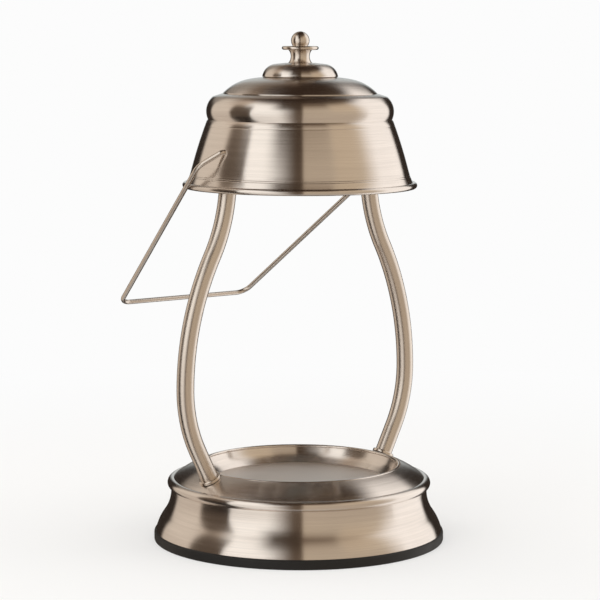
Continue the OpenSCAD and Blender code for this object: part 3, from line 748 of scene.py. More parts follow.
@dataclass(frozen=True)
class Glass(Finish):
    """Clear pressed glass: smooth, with the faint waviness of a mould."""

    wave_size: float = 6.25   # mm
    wave_depth: float = 0.05  # mm

    def fixed(self) -> dict[str, Any]:
        """Return clear glass."""
        return {"Transmission Weight": 1.0, "IOR": 1.5}

    def shade(self, tree: Tree, shader: Node) -> None:
        """Add the mould's waviness.

        Args:
            tree: The material's node tree.
            shader: The material's main shader.
        """
        where = add_node(tree, "ShaderNodeTexCoord").outputs["Object"]
        wave = add_node(tree, "ShaderNodeTexNoise", {
            "Vector": where, "Scale": 1 / (self.wave_size * MM), "Detail": 1.0}).outputs[0]
        bump = add_node(tree, "ShaderNodeBump", {
            "Strength": 1.0, "Distance": self.wave_depth * MM, "Height": wave})
        tree.links.new(bump.outputs[0], shader.inputs["Normal"])


SPUN_NICKEL = BrushedNickel("spun_brushed_nickel", "brushed_nickel", "efe7e0", 0.19,
                            anisotropy=1.0, line_tint=0.16)
DRAWN_NICKEL = BrushedNickel("satin_drawn_nickel", "satin_nickel", "e9dfd5", 0.27,
                             grain=Grain.ALONG, line_pitch=0.7, line_depth=0.0,
                             line_tint=0.16, mottle=0.04)
TURNED_NICKEL = BrushedNickel("satin_turned_nickel", "satin_nickel", "e9dfd5", 0.22,
                              anisotropy=0.9, line_pitch=0.3, line_depth=0.003)
PLATE = BrushedNickel("lacquered_steel_plate", "plate_metal", "f2e9e2", 0.5,
                      anisotropy=0.3, line_pitch=0.8, line_depth=0.004, line_tint=0.05)
RUBBER = Grained("moulded_rubber_edging", "edging_rubber", "1a1919", 0.55,
                 grain_size=0.5, grain_depth=0.03, patch_tint=0.25)
FOAM = Grained("closed_cell_foam", "foam_pad", "2c2b2a", 0.85, grain_size=0.4,
               grain_depth=0.12, patch_tint=0.3, sheen=0.15)
ZINC = Grained("zinc_plated_steel", "zinc_steel", "b9bcbd", 0.3, metallic=1.0,
               grain_size=0.3, grain_depth=0.006, patch_size=2.5, patch_tint=0.22)
NYLON = Grained("black_moulded_nylon", "black_plastic", "1d1d1e", 0.42, grain_size=0.25,
                grain_depth=0.012)
STEATITE = Grained("fired_steatite", "porcelain", "e6e0d3", 0.55, grain_size=0.35,
                   grain_depth=0.012, patch_tint=0.1)
POLYAMIDE = Grained("natural_polyamide", "block_plastic", "d8d5ca", 0.4, patch_tint=0.08)
SLEEVE = WovenSleeve("woven_glass_sleeve", "lead_sleeve", "d6d1c3", 0.75)
MIRROR = Grained("aluminised_glass", "reflector", "dcdee2", 0.12, metallic=1.0,
                 grain_size=1.5, grain_depth=0.004, patch_tint=0.05, gloss_change=0.06)
CLEAR_GLASS = Glass("pressed_clear_glass", "lamp_glass", "f2f5f6", 0.03)
PIN_METAL = Grained("turned_aluminium", "pin_metal", "c9cacc", 0.3, metallic=1.0,
                    grain_size=0.2, grain_depth=0.005, patch_tint=0.1)


# ---------------------------------------------------------------- sub-assemblies


@dataclass
class Workshop:
    """Hands finished pieces to the frame and keeps the tools that several classes share."""

    sweep: SweepTool = field(default_factory=SweepTool)
    repeat: RepeatTool = field(default_factory=RepeatTool)

    def fit(self, piece: Object, finish: Finish, *nodes: str, body: Body = Body.LAMP) -> None:
        """Dress a piece and set it on its body in place of the CAD nodes that it stands for.

        Args:
            piece: The finished mesh object.
            finish: What it is made of.
            *nodes: The CAD nodes that it stands for.
            body: The body that it moves with.
        """
        if not piece.data.materials:
            piece.data.materials.append(finish.material())
        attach(piece, body.value)
        if nodes:
            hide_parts(*nodes)
        LOG.info("%s: %d faces, %s", piece.name, len(piece.data.polygons), finish.name)

    def spin(self, name: str, outline: Sequence[Point], finish: Finish, *nodes: str,
             body: Body = Body.LAMP, **shape: Any) -> None:
        """Spin one closed outline into a piece and fit it."""
        self.fit(spun(name, [outline], **shape), finish, *nodes, body=body)

    def dress(self, finish: Finish, *nodes: str) -> None:
        """Give CAD nodes a finish and leave their shape as it is.

        Args:
            finish: What the nodes are made of.
            *nodes: Their names.
        """
        for name in nodes:
            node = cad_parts[name]
            node.data.materials.clear()
            node.data.materials.append(finish.material())
            LOG.info("%s: CAD node, %s", name, finish.name)

    def tube(self, name: str, line: Sequence[Sequence[float]], radius: float, finish: Finish,
             *nodes: str, wall: float = 0.0, sides: int = 48, body: Body = Body.LAMP) -> None:
        """Sweep a tube, or a rod where it has no wall, along a line in mm, and fit it.

        Args:
            name: The piece's name.
            line: Points of its centre line.
            radius: Its outside radius, in mm.
            finish: What it is made of.
            *nodes: The CAD nodes that it stands for.
            wall: Its wall, in mm; 0 makes it a rod.
            sides: Steps round its section.
            body: The body that it moves with.
        """
        made = self.sweep.run(guide_line(name, line), {
            "Radius": radius * MM, "Sides": sides, "Closed Ends": not wall,
            "Material": finish.material()}, thickness=wall)
        made.data.set_sharp_from_angle(angle=math.radians(40))
        self.fit(made, finish, *nodes, body=body)

    def copies(self, name: str, piece: Object, points: Sequence[Sequence[float]], finish: Finish,
               *nodes: str, turns: Sequence[Sequence[float]] = (),
               body: Body = Body.LAMP) -> None:
        """Set copies of a piece, made round the origin, on points in mm, and fit them.

        Args:
            name: The name of all the copies' one piece.
            piece: The object to copy, which is removed.
            points: Where the copies go.
            finish: What they are made of.
            *nodes: The CAD nodes that they stand for.
            turns: The turn of each about X, Y and Z, in radians.
            body: The body that they move with.
        """
        guide = guide_points(name, points, turns or [(0.0, 0.0, 0.0)] * len(points))
        made = self.repeat.run(guide, {
            "Piece": piece, "Scale": 1.0, "Material": finish.material()})
        bpy.data.objects.remove(piece)
        self.fit(made, finish, *nodes, body=body)


@dataclass
class Base:
    """Round base: foam pad, black edging, spun shell, dished pan, plate and cord gland."""

    diameter: float = 190.0
    edging_height: float = 6.3
    edging_lip: float = 1.1
    pad: float = 2.0
    bottom: float = 1.2
    wall: float = 1.0
    flare_width: float = 10.0
    flare_lean: float = 36.0
    flare_radius: float = 25.4
    waist_height: float = 32.5
    waist_length: float = 1.8
    bead_radius: float = 3.3
    bead_out: float = 2.4
    bead_end: float = 105.0
    deck_radius: float = 56.0
    deck_fall: float = 39.0
    deck_width: float = 15.3
    pan_wall: float = 0.8
    rim_radius: float = 1.2
    rim_proud: float = 0.45
    pan_depth: float = 11.9
    pan_run: float = 8.0
    plate: float = 1.0
    screw: float = 4.0
    seat: float = 0.05
    cord: float = 6.2
    gland_wall: float = 1.4
    gland_flange: float = 1.6
    channel_wall: float = 0.8
    channel_width: float = 3.4

    @property
    def radius(self) -> float:
        """Radius over the edging."""
        return self.diameter / 2

    @property
    def shell_radius(self) -> float:
        """Radius of the shell at its foot."""
        return self.radius - self.edging_lip - self.seat

    @property
    def waist_radius(self) -> float:
        """Radius of the waist."""
        return self.shell_radius - self.flare_width

    @property
    def bead_centre(self) -> Point:
        """Centre of the bead's section.

        Returns:
            Radius and height, in mm.
        """
        rise = math.sqrt(self.bead_radius ** 2 - (self.bead_radius - self.bead_out) ** 2)
        return (self.waist_radius + self.bead_out - self.bead_radius,
                self.waist_height + self.waist_length + rise)

    @property
    def deck_from(self) -> Point:
        """Where the bead ends and the deck begins."""
        return polar(self.bead_centre, self.bead_radius, self.bead_end)

    @property
    def deck_centre(self) -> Point:
        """Centre of the deck's arc."""
        return polar(self.deck_from, -self.deck_radius, 90 - self.deck_fall)

    @property
    def opening(self) -> float:
        """Radius of the hole in the deck."""
        return self.deck_from[0] - self.deck_width

    def slope(self, r: float) -> float:
        """Return the deck's slope at a radius, in degrees."""
        return math.degrees(math.asin((r - self.deck_centre[0]) / self.deck_radius))

    def deck_height(self, r: float) -> float:
        """Return the deck's height at a radius."""
        return self.deck_centre[1] + self.deck_radius * cosd(self.slope(r))

    @property
    def rim_centre(self) -> Point:
        """Centre of the pan's rolled rim.

        Returns:
            Radius and height, in mm.
        """
        edge = self.opening - self.wall * sind(self.slope(self.opening))
        return (edge - self.seat - self.rim_radius,
                self.deck_height(self.opening) + self.rim_proud - self.rim_radius)

    @property
    def floor(self) -> float:
        """Height of the pan's floor."""
        return self.rim_centre[1] + self.rim_radius - self.pan_depth

    @property
    def floor_radius(self) -> float:
        """Radius of the pan's floor."""
        return self.rim_centre[0] - self.pan_run

    def build(self, shop: Workshop) -> None:
        """Make and dress every piece of the base.

        Args:
            shop: The workshop that makes and fits the pieces.
        """
        self.make_shell(shop)
        self.make_edging(shop)
        self.make_pan(shop)
        self.make_gland(shop)
        shop.dress(ZINC, "bottom_plate", "centre_post", "base_screw", "pan_screw",
                   "foot_plugs", "foot_studs", "foot_nuts")
        shop.dress(POLYAMIDE, "terminal_block")

    def make_shell(self, shop: Workshop) -> None:
        """Spin the shell: flare, waist, bead and domed deck.

        Args:
            shop: The workshop that makes and fits the pieces.
        """
        edge = (self.shell_radius, self.edging_height)
        waist = (self.waist_radius + self.flare_radius, self.waist_height)
        mid = polar(waist, self.flare_radius, 180 + self.flare_lean)
        foot_lean = 2 * (90 - bearing(edge, (2 * edge[0] - mid[0], mid[1]))) - self.flare_lean
        foot = (mid[1] - edge[1]) / (sind(self.flare_lean) - sind(foot_lean))
        bead_from = -math.degrees(math.acos((self.bead_radius - self.bead_out) / self.bead_radius))
        line = tidy([
            (edge[0], self.pad + self.bottom + self.channel_wall + self.seat),
            (edge[0], edge[1] - 0.6),
            *on_arc(polar(edge, -foot, foot_lean), foot, foot_lean, self.flare_lean, 24),
            *on_arc(waist, self.flare_radius, 180 + self.flare_lean, 180, 24),
            *on_arc(self.bead_centre, self.bead_radius, bead_from, self.bead_end, 28),
            *on_arc(self.deck_centre, self.deck_radius, 90 - self.deck_fall,
                    90 - self.slope(self.opening), 24)])
        shop.spin("base_skin", sheet(line, self.wall), SPUN_NICKEL, "base_shell",
                  segments=256, sharp=30)

    def make_edging(self, shop: Workshop) -> None:
        """Spin the rubber edging and the foam pad.

        Args:
            shop: The workshop that makes and fits the pieces.
        """
        inner, outer = self.shell_radius - self.wall, self.shell_radius + self.seat
        groove = inner - self.channel_width
        low = self.pad + self.bottom
        toe, corner = 0.7, 1.6
        shop.spin("edging", [
            (inner, low + self.seat), (inner, 0.15), (inner + 0.15, 0.0),
            *on_arc((self.radius - toe, toe), toe, -90, 0, 6),
            *on_arc((self.radius - corner, self.edging_height - corner), corner, 0, 90, 8),
            (outer, self.edging_height - 0.05), (outer, low + self.channel_wall),
            (groove, low + self.channel_wall), (groove, low + self.seat)],
            RUBBER, "edging_ring", segments=256, sharp=40)
        pad, hole, top = inner - 1.5, self.screw + 0.8, self.pad - self.seat
        dimple = [(hole + 0.9 - h, h) for h in (0.9, 0.6, 0.3, 0.0)]
        shop.spin("foam_foot", [
            (hole, top), *dimple,
            *rounded([dimple[-1], (pad, 0.0), (pad, top), (hole, top)], [0, 0.6, 0.3, 0])[1:]],
            FOAM, "base_pad", segments=192, sharp=40)

    def make_pan(self, shop: Workshop) -> None:
        """Spin the dished pan with its rolled rim, and the plate in it.

        Args:
            shop: The workshop that makes and fits the pieces.
        """
        rim, r, rim_from = self.rim_centre, self.rim_radius, 205
        inside = rounded([
            (0.0, self.floor), (self.floor_radius, self.floor),
            (rim[0] - self.pan_run * 0.42, self.floor + (rim[1] - self.floor) * 0.45),
            polar(rim, r, rim_from)], [0, 2.5, 14, 0], step=6)
        under = [(max(x, 0.0), z) for x, z in beside(inside, -self.pan_wall)[::-1]
                 if z < rim[1] - r * 0.7]
        shop.spin("dished_pan", inside + on_arc(rim, r, rim_from, -70, 24)[1:] + under,
                  SPUN_NICKEL, "candle_pan", segments=256, sharp=30)
        low, high = self.floor + self.seat, self.floor + self.seat + self.plate
        edge = self.floor_radius - 0.9
        shop.spin("candle_plate", rounded(
            [(0.0, low), (edge, low), (edge, high), (0.0, high)], [0, 0.15, 0.35, 0]),
            PLATE, "pan_plate", segments=192, sharp=50)

    def make_gland(self, shop: Workshop) -> None:
        """Spin the cord gland with its flange and its nut.

        Args:
            shop: The workshop that makes and fits the pieces.
        """
        bore = self.cord / 2
        neck = bore + self.gland_wall
        rim = neck + self.gland_flange
        back, flange, front = self.shell_radius - 12.0, self.shell_radius - 5.5, self.radius - 0.4
        place = (Matrix.Translation((0, 0, self.edging_height + rim + 0.4))
                 @ Matrix.Rotation(-math.pi / 2, 4, "X"))
        shop.spin("gland", rounded(
            [(bore, back), (neck, back), (neck, flange), (rim, flange), (rim, front),
             (bore, front), (bore, back)], [0, 0.4, 0, 0, 0.9, 0.5, 0]),
            NYLON, "cord_gland", segments=64, sharp=35, place=place)
        inner, outer, low, high = neck + self.seat, neck + 1.5, back + 0.6, back + 3.6
        shop.spin("gland_ring", rounded(
            [(inner, low), (outer, low), (outer, high), (inner, high), (inner, low)],
            [0, 0.3, 0.3, 0, 0]), NYLON, "gland_nut", segments=48, sharp=35, place=place)


@dataclass
class Arms:
    """Two bowed tubes with a collar at each foot and a stud and nut at each top."""

    base: Base
    tube: float = 11.2
    wall: float = 1.0
    foot_in: float = 22.7
    bow_out: float = 19.4
    bow_height: float = 106.0
    neck_bend: float = 106.0
    top_in: float = 17.9
    rise: float = 18.5
    neck_up: float = 9.4
    shade_diameter: float = 152.0
    shade_height: float = 230.5
    collar: float = 14.4
    collar_height: float = 2.0
    plug: float = 8.6
    stud: float = 6.0
    stud_bore: float = 3.2
    nut: float = 9.0
    nut_height: float = 3.2
    strip: float = 1.5
    seat: float = 0.05

    @property
    def foot(self) -> Point:
        """Where the tube's centre line meets the deck."""
        r = self.base.radius - self.foot_in
        return (r, self.base.deck_height(r))

    @property
    def tilt(self) -> float:
        """Lean of the foot, in degrees."""
        return self.base.slope(self.foot[0])

    @property
    def top(self) -> Point:
        """The tube's upper end."""
        return (self.shade_diameter / 2 - self.top_in, self.shade_height + self.rise)

    def corners(self) -> tuple[list[Point], list[float]]:
        """Return the corners of the tube's centre line and the bend at each.

        Returns:
            The corners as (radius, height) in mm, from the foot up, and the radius at each.
        """
        foot, top, tilt = self.foot, self.top, self.tilt
        bow = (foot[0] + self.bow_out, self.bow_height)
        neck = self.shade_height + self.neck_up
        turn = 2 * math.atan2(bow[0] - top[0], neck - bow[1])
        bow_bend = (neck - bow[1]) / math.sin(turn) - self.neck_bend
        leg_bend = (self.bow_out * cosd(tilt) - (bow[1] - foot[1]) * sind(tilt)) / (cosd(tilt) - 1)
        line = [polar(foot, self.seat, 90 - tilt),
                (bow[0], bow[1] - leg_bend * math.tan(math.radians(tilt) / 2)),
                (bow[0], bow[1] + bow_bend * math.tan(turn / 2)),
                (top[0], neck - self.neck_bend * math.tan(turn / 2)), top]
        return line, [0, leg_bend, bow_bend, self.neck_bend, 0]

    def build(self, shop: Workshop) -> None:
        """Make and dress every piece of the arms.

        Args:
            shop: The workshop that makes and fits the pieces.
        """
        line = rounded(*self.corners(), step=0.8)
        for side, node in ((-1, "arm_left"), (1, "arm_right")):
            shop.tube(node + "_tube", [(side * x, 0.0, z) for x, z in line], self.tube / 2,
                      DRAWN_NICKEL, node, wall=self.wall)
        self.make_collars(shop)
        self.make_tops(shop)

    def make_collars(self, shop: Workshop) -> None:
        """Turn the collars that seat the tubes on the deck.

        Args:
            shop: The workshop that makes and fits the pieces.
        """
        inner, outer = self.tube / 2 + self.seat, self.collar / 2
        low, high = self.seat, self.seat + self.collar_height
        collar = spun("collar", [rounded(
            [(inner, high), (inner, low), (outer, low), (outer, high), (inner, high)],
            [0, 0, 0.15, 0.6, 0.2])], segments=96, sharp=35)
        shop.copies("foot_rings", collar, [(s * self.foot[0], 0.0, self.foot[1]) for s in (1, -1)],
                    TURNED_NICKEL, "foot_collars",
                    turns=[(0.0, s * math.radians(self.tilt), 0.0) for s in (1, -1)])

    def make_tops(self, shop: Workshop) -> None:
        """Make the hollow studs and chamfered nuts that clamp the bracket.

        Args:
            shop: The workshop that makes and fits the pieces.
        """
        half, bore = self.stud / 2, self.stud_bore / 2
        low = self.top[1] - self.plug
        high = low + self.plug + self.strip + self.nut_height + 1
        stud = spun("stud", [rounded(
            [(bore, low), (half, low), (half, high), (bore, high), (bore, low)],
            [0, 0, 0.4, 0.2, 0])], segments=48, sharp=35)
        nut_seat = self.top[1] + self.strip + 2 * self.seat
        for name, node, piece, z in (
                ("top_tubes", "top_studs", stud, 0.0),
                ("top_hex_nuts", "top_nuts",
                 hex_nut("nut", self.nut, half + self.seat, self.nut_height), nut_seat)):
            shop.copies(name, piece, [(s * self.top[0], 0.0, z) for s in (1, -1)], ZINC, node)
        shop.dress(ZINC, "top_plugs")


@dataclass
class Shade:
    """Spun shade: skirt with rolled lip, dome, small cap and turned finial."""

    diameter: float = 152.0
    height: float = 230.5
    wall: float = 1.0
    lip: float = 2.0
    flare_height: float = 9.8
    flare_width: float = 3.8
    cone_height: float = 31.3
    cone_run: float = 9.9
    cone_curve: float = 3.0
    band_step: Point = (-0.8, 1.1)
    band_radius: float = 12.5
    band_bulge: float = 1.1
    band_end: float = 49.5
    ledge_width: float = 6.7
    ledge_rise: float = 2.0
    dome_section: float = 30.0
    crown: float = 24.9
    dome_leans: tuple[float, float, float] = (46.0, 12.0, 4.0)
    cap: float = 49.2
    cap_height: float = 8.7
    cap_edge: float = 9.5
    collar: float = 44.8
    collar_height: float = 0.5
    rod: float = 6.0
    hole_gap: float = 0.2
    seat: float = 0.05
    neck: float = 15.4
    neck_height: float = 8.3
    neck_waist: float = 1.6
    flange: float = 23.8
    flange_height: float = 2.4
    ball: float = 11.9
    ball_sink: float = 2.45
    scores: tuple[Point, ...] = ((239.2, 0.16), (238.2, 0.16), (270.8, 0.07))  # height, depth
    score_width: float = 0.7

    @property
    def lip_centre(self) -> Point:
        """Centre of the rolled lip."""
        return (self.diameter / 2 - self.lip, self.height + self.lip)

    @property
    def cone_low(self) -> Point:
        """Foot of the cone."""
        return (self.lip_centre[0] - self.flare_width, self.lip_centre[1] + self.flare_height)

    @property
    def cone_lean(self) -> float:
        """Lean of the surface where flare and cone meet, in degrees."""
        return bearing((0.0, 0.0), (self.cone_height, self.cone_run)) - self.cone_curve

    @property
    def cone_section(self) -> float:
        """Radius of the cone's slight curve."""
        return math.hypot(self.cone_run, self.cone_height) / (2 * sind(self.cone_curve))

    def cone_radius(self, height: float) -> float:
        """Return the skirt's outside radius at a height on its cone."""
        here = math.asin((height - self.cone_low[1]) / self.cone_section + sind(self.cone_lean))
        return self.cone_low[0] - self.cone_section * (cosd(self.cone_lean) - math.cos(here))

    @property
    def band_from(self) -> float:
        """Angle at which the band's arc begins, in degrees."""
        return -math.degrees(math.acos(1 - self.band_bulge / self.band_radius))

    @property
    def band_centre(self) -> Point:
        """Centre of the band's arc.

        Returns:
            Radius and height, in mm.
        """
        low = (self.cone_low[0] - self.cone_run + self.band_step[0],
               self.cone_low[1] + self.cone_height + self.band_step[1])
        return polar(low, -self.band_radius, self.band_from)

    @property
    def dome_foot(self) -> Point:
        """Edge of the dome, on the ledge above the band."""
        high = polar(self.band_centre, self.band_radius, self.band_end)
        return (high[0] - self.ledge_width, high[1] + self.ledge_rise)

    def dome_line(self) -> list[Point]:
        """Return the dome's outside, from its edge to the rod.

        Returns:
            Points (radius, height), in mm.
        """
        edge, low, top = (90 - lean for lean in self.dome_leans)
        r, (x, z) = self.dome_section, self.dome_foot
        turn = polar((x, z + self.seat + 0.4), -r, edge)
        mid = polar(turn, r, low)
        big = (mid[0] - self.crown) / (cosd(low) - cosd(top))
        line = [(x, z + self.seat), *on_arc(turn, r, edge, low, 32),
                *on_arc(polar(mid, -big, low), big, low, top, 12)]
        return tidy(line + [(self.bore, line[-1][1])])

    @property
    def bore(self) -> float:
        """Radius of the holes for the rod."""
        return self.rod / 2 + self.hole_gap

    @property
    def crown_height(self) -> float:
        """Height of the flat crown."""
        return self.dome_line()[-1][1]

    @property
    def collar_foot(self) -> float:
        """Height where the collar stands on the crown."""
        return self.crown_height + self.seat

    @property
    def cap_foot(self) -> float:
        """Height where the cap stands on the collar."""
        return self.collar_foot + self.collar_height + self.seat

    def build(self, shop: Workshop) -> None:
        """Make and dress every piece of the shade.

        Args:
            shop: The workshop that makes and fits the pieces.
        """
        self.make_skirt(shop)
        self.make_dome(shop)
        self.make_cap(shop)
        self.make_finial(shop)
        shop.dress(ZINC, "shade_rod", "rod_nut", "cap_spacer")

    def make_skirt(self, shop: Workshop) -> None:
        """Spin the skirt: lip, flare, cone, band and ledge, with its scored lines.

        Args:
            shop: The workshop that makes and fits the pieces.
        """
        lip, low, lean = self.lip_centre, self.cone_low, self.cone_lean
        chord = bearing((0.0, 0.0), (self.flare_height, self.flare_width))
        flare = math.hypot(self.flare_width, self.flare_height) / (2 * sind(chord - lean))
        foot = self.dome_foot
        line = tidy([
            *on_arc(polar(low, flare, lean), flare, 180 + 2 * chord - lean, 180 + lean, 32),
            *on_arc(polar(low, -self.cone_section, lean), self.cone_section, lean,
                    lean + 2 * self.cone_curve, 24),
            *on_arc(self.band_centre, self.band_radius, self.band_from, self.band_end, 36),
            (foot[0] + 0.4, foot[1]), (foot[0] - 0.7, foot[1])])
        inner, outer = ([p for p in side if math.dist(p, lip) > self.lip]
                        for side in (beside(line, self.wall), line))
        for height, depth in self.scores:
            outer = cut_line(outer, height, self.score_width, depth)
        roll = on_arc(lip, self.lip, bearing(lip, inner[0]), bearing(lip, outer[0]) + 360, 40)
        shop.spin("shade_wall", [*inner[::-1], *roll, *outer], SPUN_NICKEL, "shade_skirt",
                  segments=256, sharp=28)

    def make_dome(self, shop: Workshop) -> None:
        """Spin the dome and the ring that centres it in the skirt.

        Args:
            shop: The workshop that makes and fits the pieces.
        """
        ring, low = self.dome_foot[0] - 0.9, self.dome_foot[1]
        centring = [(ring - self.wall, low - 3.4), (ring, low - 3.4), (ring, low + 0.8),
                    (ring - self.wall, low + 1.4)]
        dome = spun("shade_crown", [sheet(self.dome_line(), self.wall), centring],
                    segments=256, sharp=28)
        shop.fit(dome, SPUN_NICKEL, "shade_dome")

    def make_cap(self, shop: Workshop) -> None:
        """Spin the collar and the small cap.

        Args:
            shop: The workshop that makes and fits the pieces.
        """
        foot, bore, edge = self.collar_foot, self.bore, self.collar / 2
        top = foot + self.collar_height
        shop.spin("cap_ring", rounded(
            [(bore, top), (bore, foot), (edge, foot), (edge, top), (bore, top)],
            [0, 0, 0.15, 0.15, 0]), SPUN_NICKEL, "cap_collar", segments=160, sharp=30)
        low, corner = self.cap_foot, self.cap_edge
        high = low + self.cap_height
        centre = (self.cap / 2 - corner, high - 0.6 - corner)
        start = max(0.0, math.degrees(math.asin((low + 0.3 - centre[1]) / corner)))
        side = on_arc(centre, corner, start, 78, 24)
        line = [(self.cap / 2, low + self.seat), *side,
                *rounded([side[-1], (self.neck / 2 + 2, high), (bore, high)], [0, 6, 0])[1:]]
        shop.spin("shade_cap_skin", sheet(tidy(line), self.wall), SPUN_NICKEL, "shade_cap",
                  segments=160, sharp=28)

    def make_finial(self, shop: Workshop) -> None:
        """Turn the finial: waisted neck, thin flange and ball.

        Args:
            shop: The workshop that makes and fits the pieces.
        """
        foot = self.cap_foot + self.cap_height + self.seat
        flange = foot + self.neck_height
        arc = (self.neck_height ** 2 / 4 + self.neck_waist ** 2) / (2 * self.neck_waist)
        half = math.degrees(math.asin(self.neck_height / 2 / arc))
        thick, ball_radius = self.flange_height / 2, self.ball / 2
        edge, top = self.flange / 2 - thick, flange + self.flange_height
        ball = (0.0, top + ball_radius - self.ball_sink)
        meet = math.degrees(math.asin((top + 0.25 - ball[1]) / ball_radius))
        shop.spin("finial_knob", [
            (0.0, foot),
            *on_arc((self.neck / 2 - self.neck_waist + arc, foot + self.neck_height / 2),
                    arc, 180 + half, 180 - half, 20),
            *on_arc((edge, flange + thick), thick, -90, 90, 16),
            *rounded([(edge, top), (ball_radius * 0.82, top), polar(ball, ball_radius, meet)],
                     [0, 0.3, 0])[1:],
            *on_arc(ball, ball_radius, meet, 90, 24)[:-1],
            (0.0, ball[1] + ball_radius)], TURNED_NICKEL, "finial", segments=128, sharp=38)


@dataclass
class Handle:
    """Bent wire handle that turns in the skirt."""

    shade: Shade
    wire: float = 3.2
    pivot_up: float = 25.3
    pivot_forward: float = 6.5
    lean: float = 51.17
    pin_out: float = 1.9
    pin_in: float = 3.2
    shoulder_drop: float = 14.7
    shoulder_out: float = 10.3
    length: float = 173.7
    grip: float = 105.8
    bends: tuple[float, ...] = (0, 2.4, 12, 8.5, 8.5, 12, 2.4, 0)

    @property
    def wall_x(self) -> float:
        """Distance from the middle to the skirt's outside, along the pivot."""
        r = self.shade.cone_radius(self.shade.height + self.pivot_up)
        return math.sqrt(r ** 2 - self.pivot_forward ** 2)

    def build(self, shop: Workshop) -> None:
        """Bend the wire and lean it against the lip.

        Args:
            shop: The workshop that makes and fits the pieces.
        """
        first = self.wall_x + self.pin_out
        half = [(self.wall_x - self.pin_in, 0.0), (first, 0.0),
                (first + self.shoulder_out, -self.shoulder_drop), (self.grip / 2, -self.length)]
        line = rounded(half + [(-x, z) for x, z in half[::-1]], self.bends, step=4.0)
        pivot = (0, -self.pivot_forward, self.shade.height + self.pivot_up)
        turn = Matrix.Translation(pivot) @ Matrix.Rotation(math.radians(self.lean), 4, "X")
        shop.tube("carrying_handle", [turn @ Vector((x, 0.0, z)) for x, z in line],
                  self.wire / 2, DRAWN_NICKEL, "handle", sides=32, body=Body.HANDLE)


@dataclass
class LampUnit:
    """Reflector lamp with its holder, bracket and lead."""

    shade: Shade
    arms: Arms
    diameter: float = 50.7
    length: float = 46.2
    base_diameter: float = 24.6
    holder: float = 28.0
    holder_height: float = 12.0
    rod_nut: float = 3.2
    gap: float = 0.3
    strip: float = 1.5
    lead: float = 2.6
    facets: int = 28
    facet_rows: int = 7
    neck_height: float = 27.0
    belly: float = 52.0
    lenslet_pitch: float = 3.4
    lead_level: float = 8.25
    lead_turn_down: float = 26.0

    @property
    def bar(self) -> float:
        """Height of the underside of the bracket's bar."""
        return (self.shade.crown_height - self.shade.wall - 2 * self.shade.seat
                - self.rod_nut - self.strip)

    @property
    def low(self) -> float:
        """Height of the lamp's front rim."""
        return self.bar - self.shade.seat - self.holder_height - self.gap - self.length

    def build(self, shop: Workshop) -> None:
        """Make and dress every piece of the lamp unit.

        Args:
            shop: The workshop that makes and fits the pieces.
        """
        self.make_reflector(shop)
        self.make_lens(shop)
        self.make_lead(shop)
        shop.dress(ZINC, "lamp_bracket", "holder_screws")
        shop.dress(STEATITE, "lamp_holder", "bulb_base")
        shop.dress(CLEAR_GLASS, "bulb_capsule")
        shop.dress(PIN_METAL, "bulb_pins")

    def make_reflector(self, shop: Workshop) -> None:
        """Spin the reflector, and facet the mirror inside it.

        Args:
            shop: The workshop that makes and fits the pieces.
        """
        r, z = self.diameter / 2, self.low
        a, b = Vector((r - 0.7, z + 3.8)), Vector((self.base_diameter / 2 + 0.8,
                                                   z + self.neck_height))
        out = Vector((b.y - a.y, a.x - b.x)).normalized()
        centre = (a + b) / 2 - out * math.sqrt(self.belly ** 2 - (b - a).length ** 2 / 4)
        line = tidy([(r, z + 0.3), (r, z + 3),
                     *on_arc(centre, self.belly, bearing(centre, a), bearing(centre, b), 20)])
        shop.spin("lamp_bowl", sheet([(r - 0.3, z), *line], 0.6), MIRROR, "bulb_reflector",
                  segments=128, sharp=35, body=Body.BULB)
        inner = beside(line, 0.75)[3:]
        step = (len(inner) - 1) / self.facet_rows
        rows = [inner[round(i * step)] for i in range(self.facet_rows + 1)]
        mirror = spun("lamp_mirror", [sheet(rows, 0.3)], segments=self.facets, sharp=1)
        for face in mirror.data.polygons:
            face.use_smooth = False
        shop.fit(mirror, MIRROR, body=Body.BULB)

    def make_lens(self, shop: Workshop) -> None:
        """Make the front glass with its pattern of small lenses.

        Args:
            shop: The workshop that makes and fits the pieces.
        """
        low, edge = self.low + 0.9, self.diameter / 2 - 1.25
        shop.spin("front_glass", rounded(
            [(0.0, low), (edge, low), (edge, low + 1.6), (0.0, low + 1.6)], [0, 0.4, 0.4, 0]),
            CLEAR_GLASS, "bulb_lens", segments=128, sharp=50, body=Body.BULB)
        spots = [(self.lenslet_pitch * (i + 0.5 * (j % 2)), self.lenslet_pitch * j * 0.866,
                  low + 0.02) for i in range(-9, 10) for j in range(-9, 10)]
        lens = spun("lenslet", [[(0.0, 0.0), *on_arc((0.0, 2.4), 2.8, -58, -90, 5)][::-1]],
                    segments=16, sharp=60)
        width = 1.5 / 1.48
        lens.data.transform(Matrix.Diagonal((width, width, 1.0, 1.0)))
        shop.copies("front_glass_lenses", lens,
                    [p for p in spots if math.hypot(p[0], p[1]) < edge - 2],
                    CLEAR_GLASS, body=Body.BULB)

    def make_lead(self, shop: Workshop) -> None:
        """Sweep the sleeved lead from the terminal block up the left arm to the holder.

        Args:
            shop: The workshop that makes and fits the pieces.
        """
        corners, bends = self.arms.corners()
        foot, level = self.arms.foot, self.lead_level
        corner = foot[0] - math.tan(math.radians(self.arms.tilt)) * (foot[1] - level)
        end = (self.holder / 2 - 3, self.bar - self.shade.seat - self.holder_height + 4.6)
        path = rounded(
            [(corner - 7, level), (corner, level), *corners[1:4],
             (self.arms.top[0], self.bar - self.lead_turn_down), end],
            [0, 5, *bends[1:4], 8, 0], step=2.0)
        shop.tube("sleeved_lead", [(-x, 0.0, z) for x, z in path], self.lead / 2, SLEEVE,
                  "supply_lead", sides=24)


# ---------------------------------------------------------------- studio


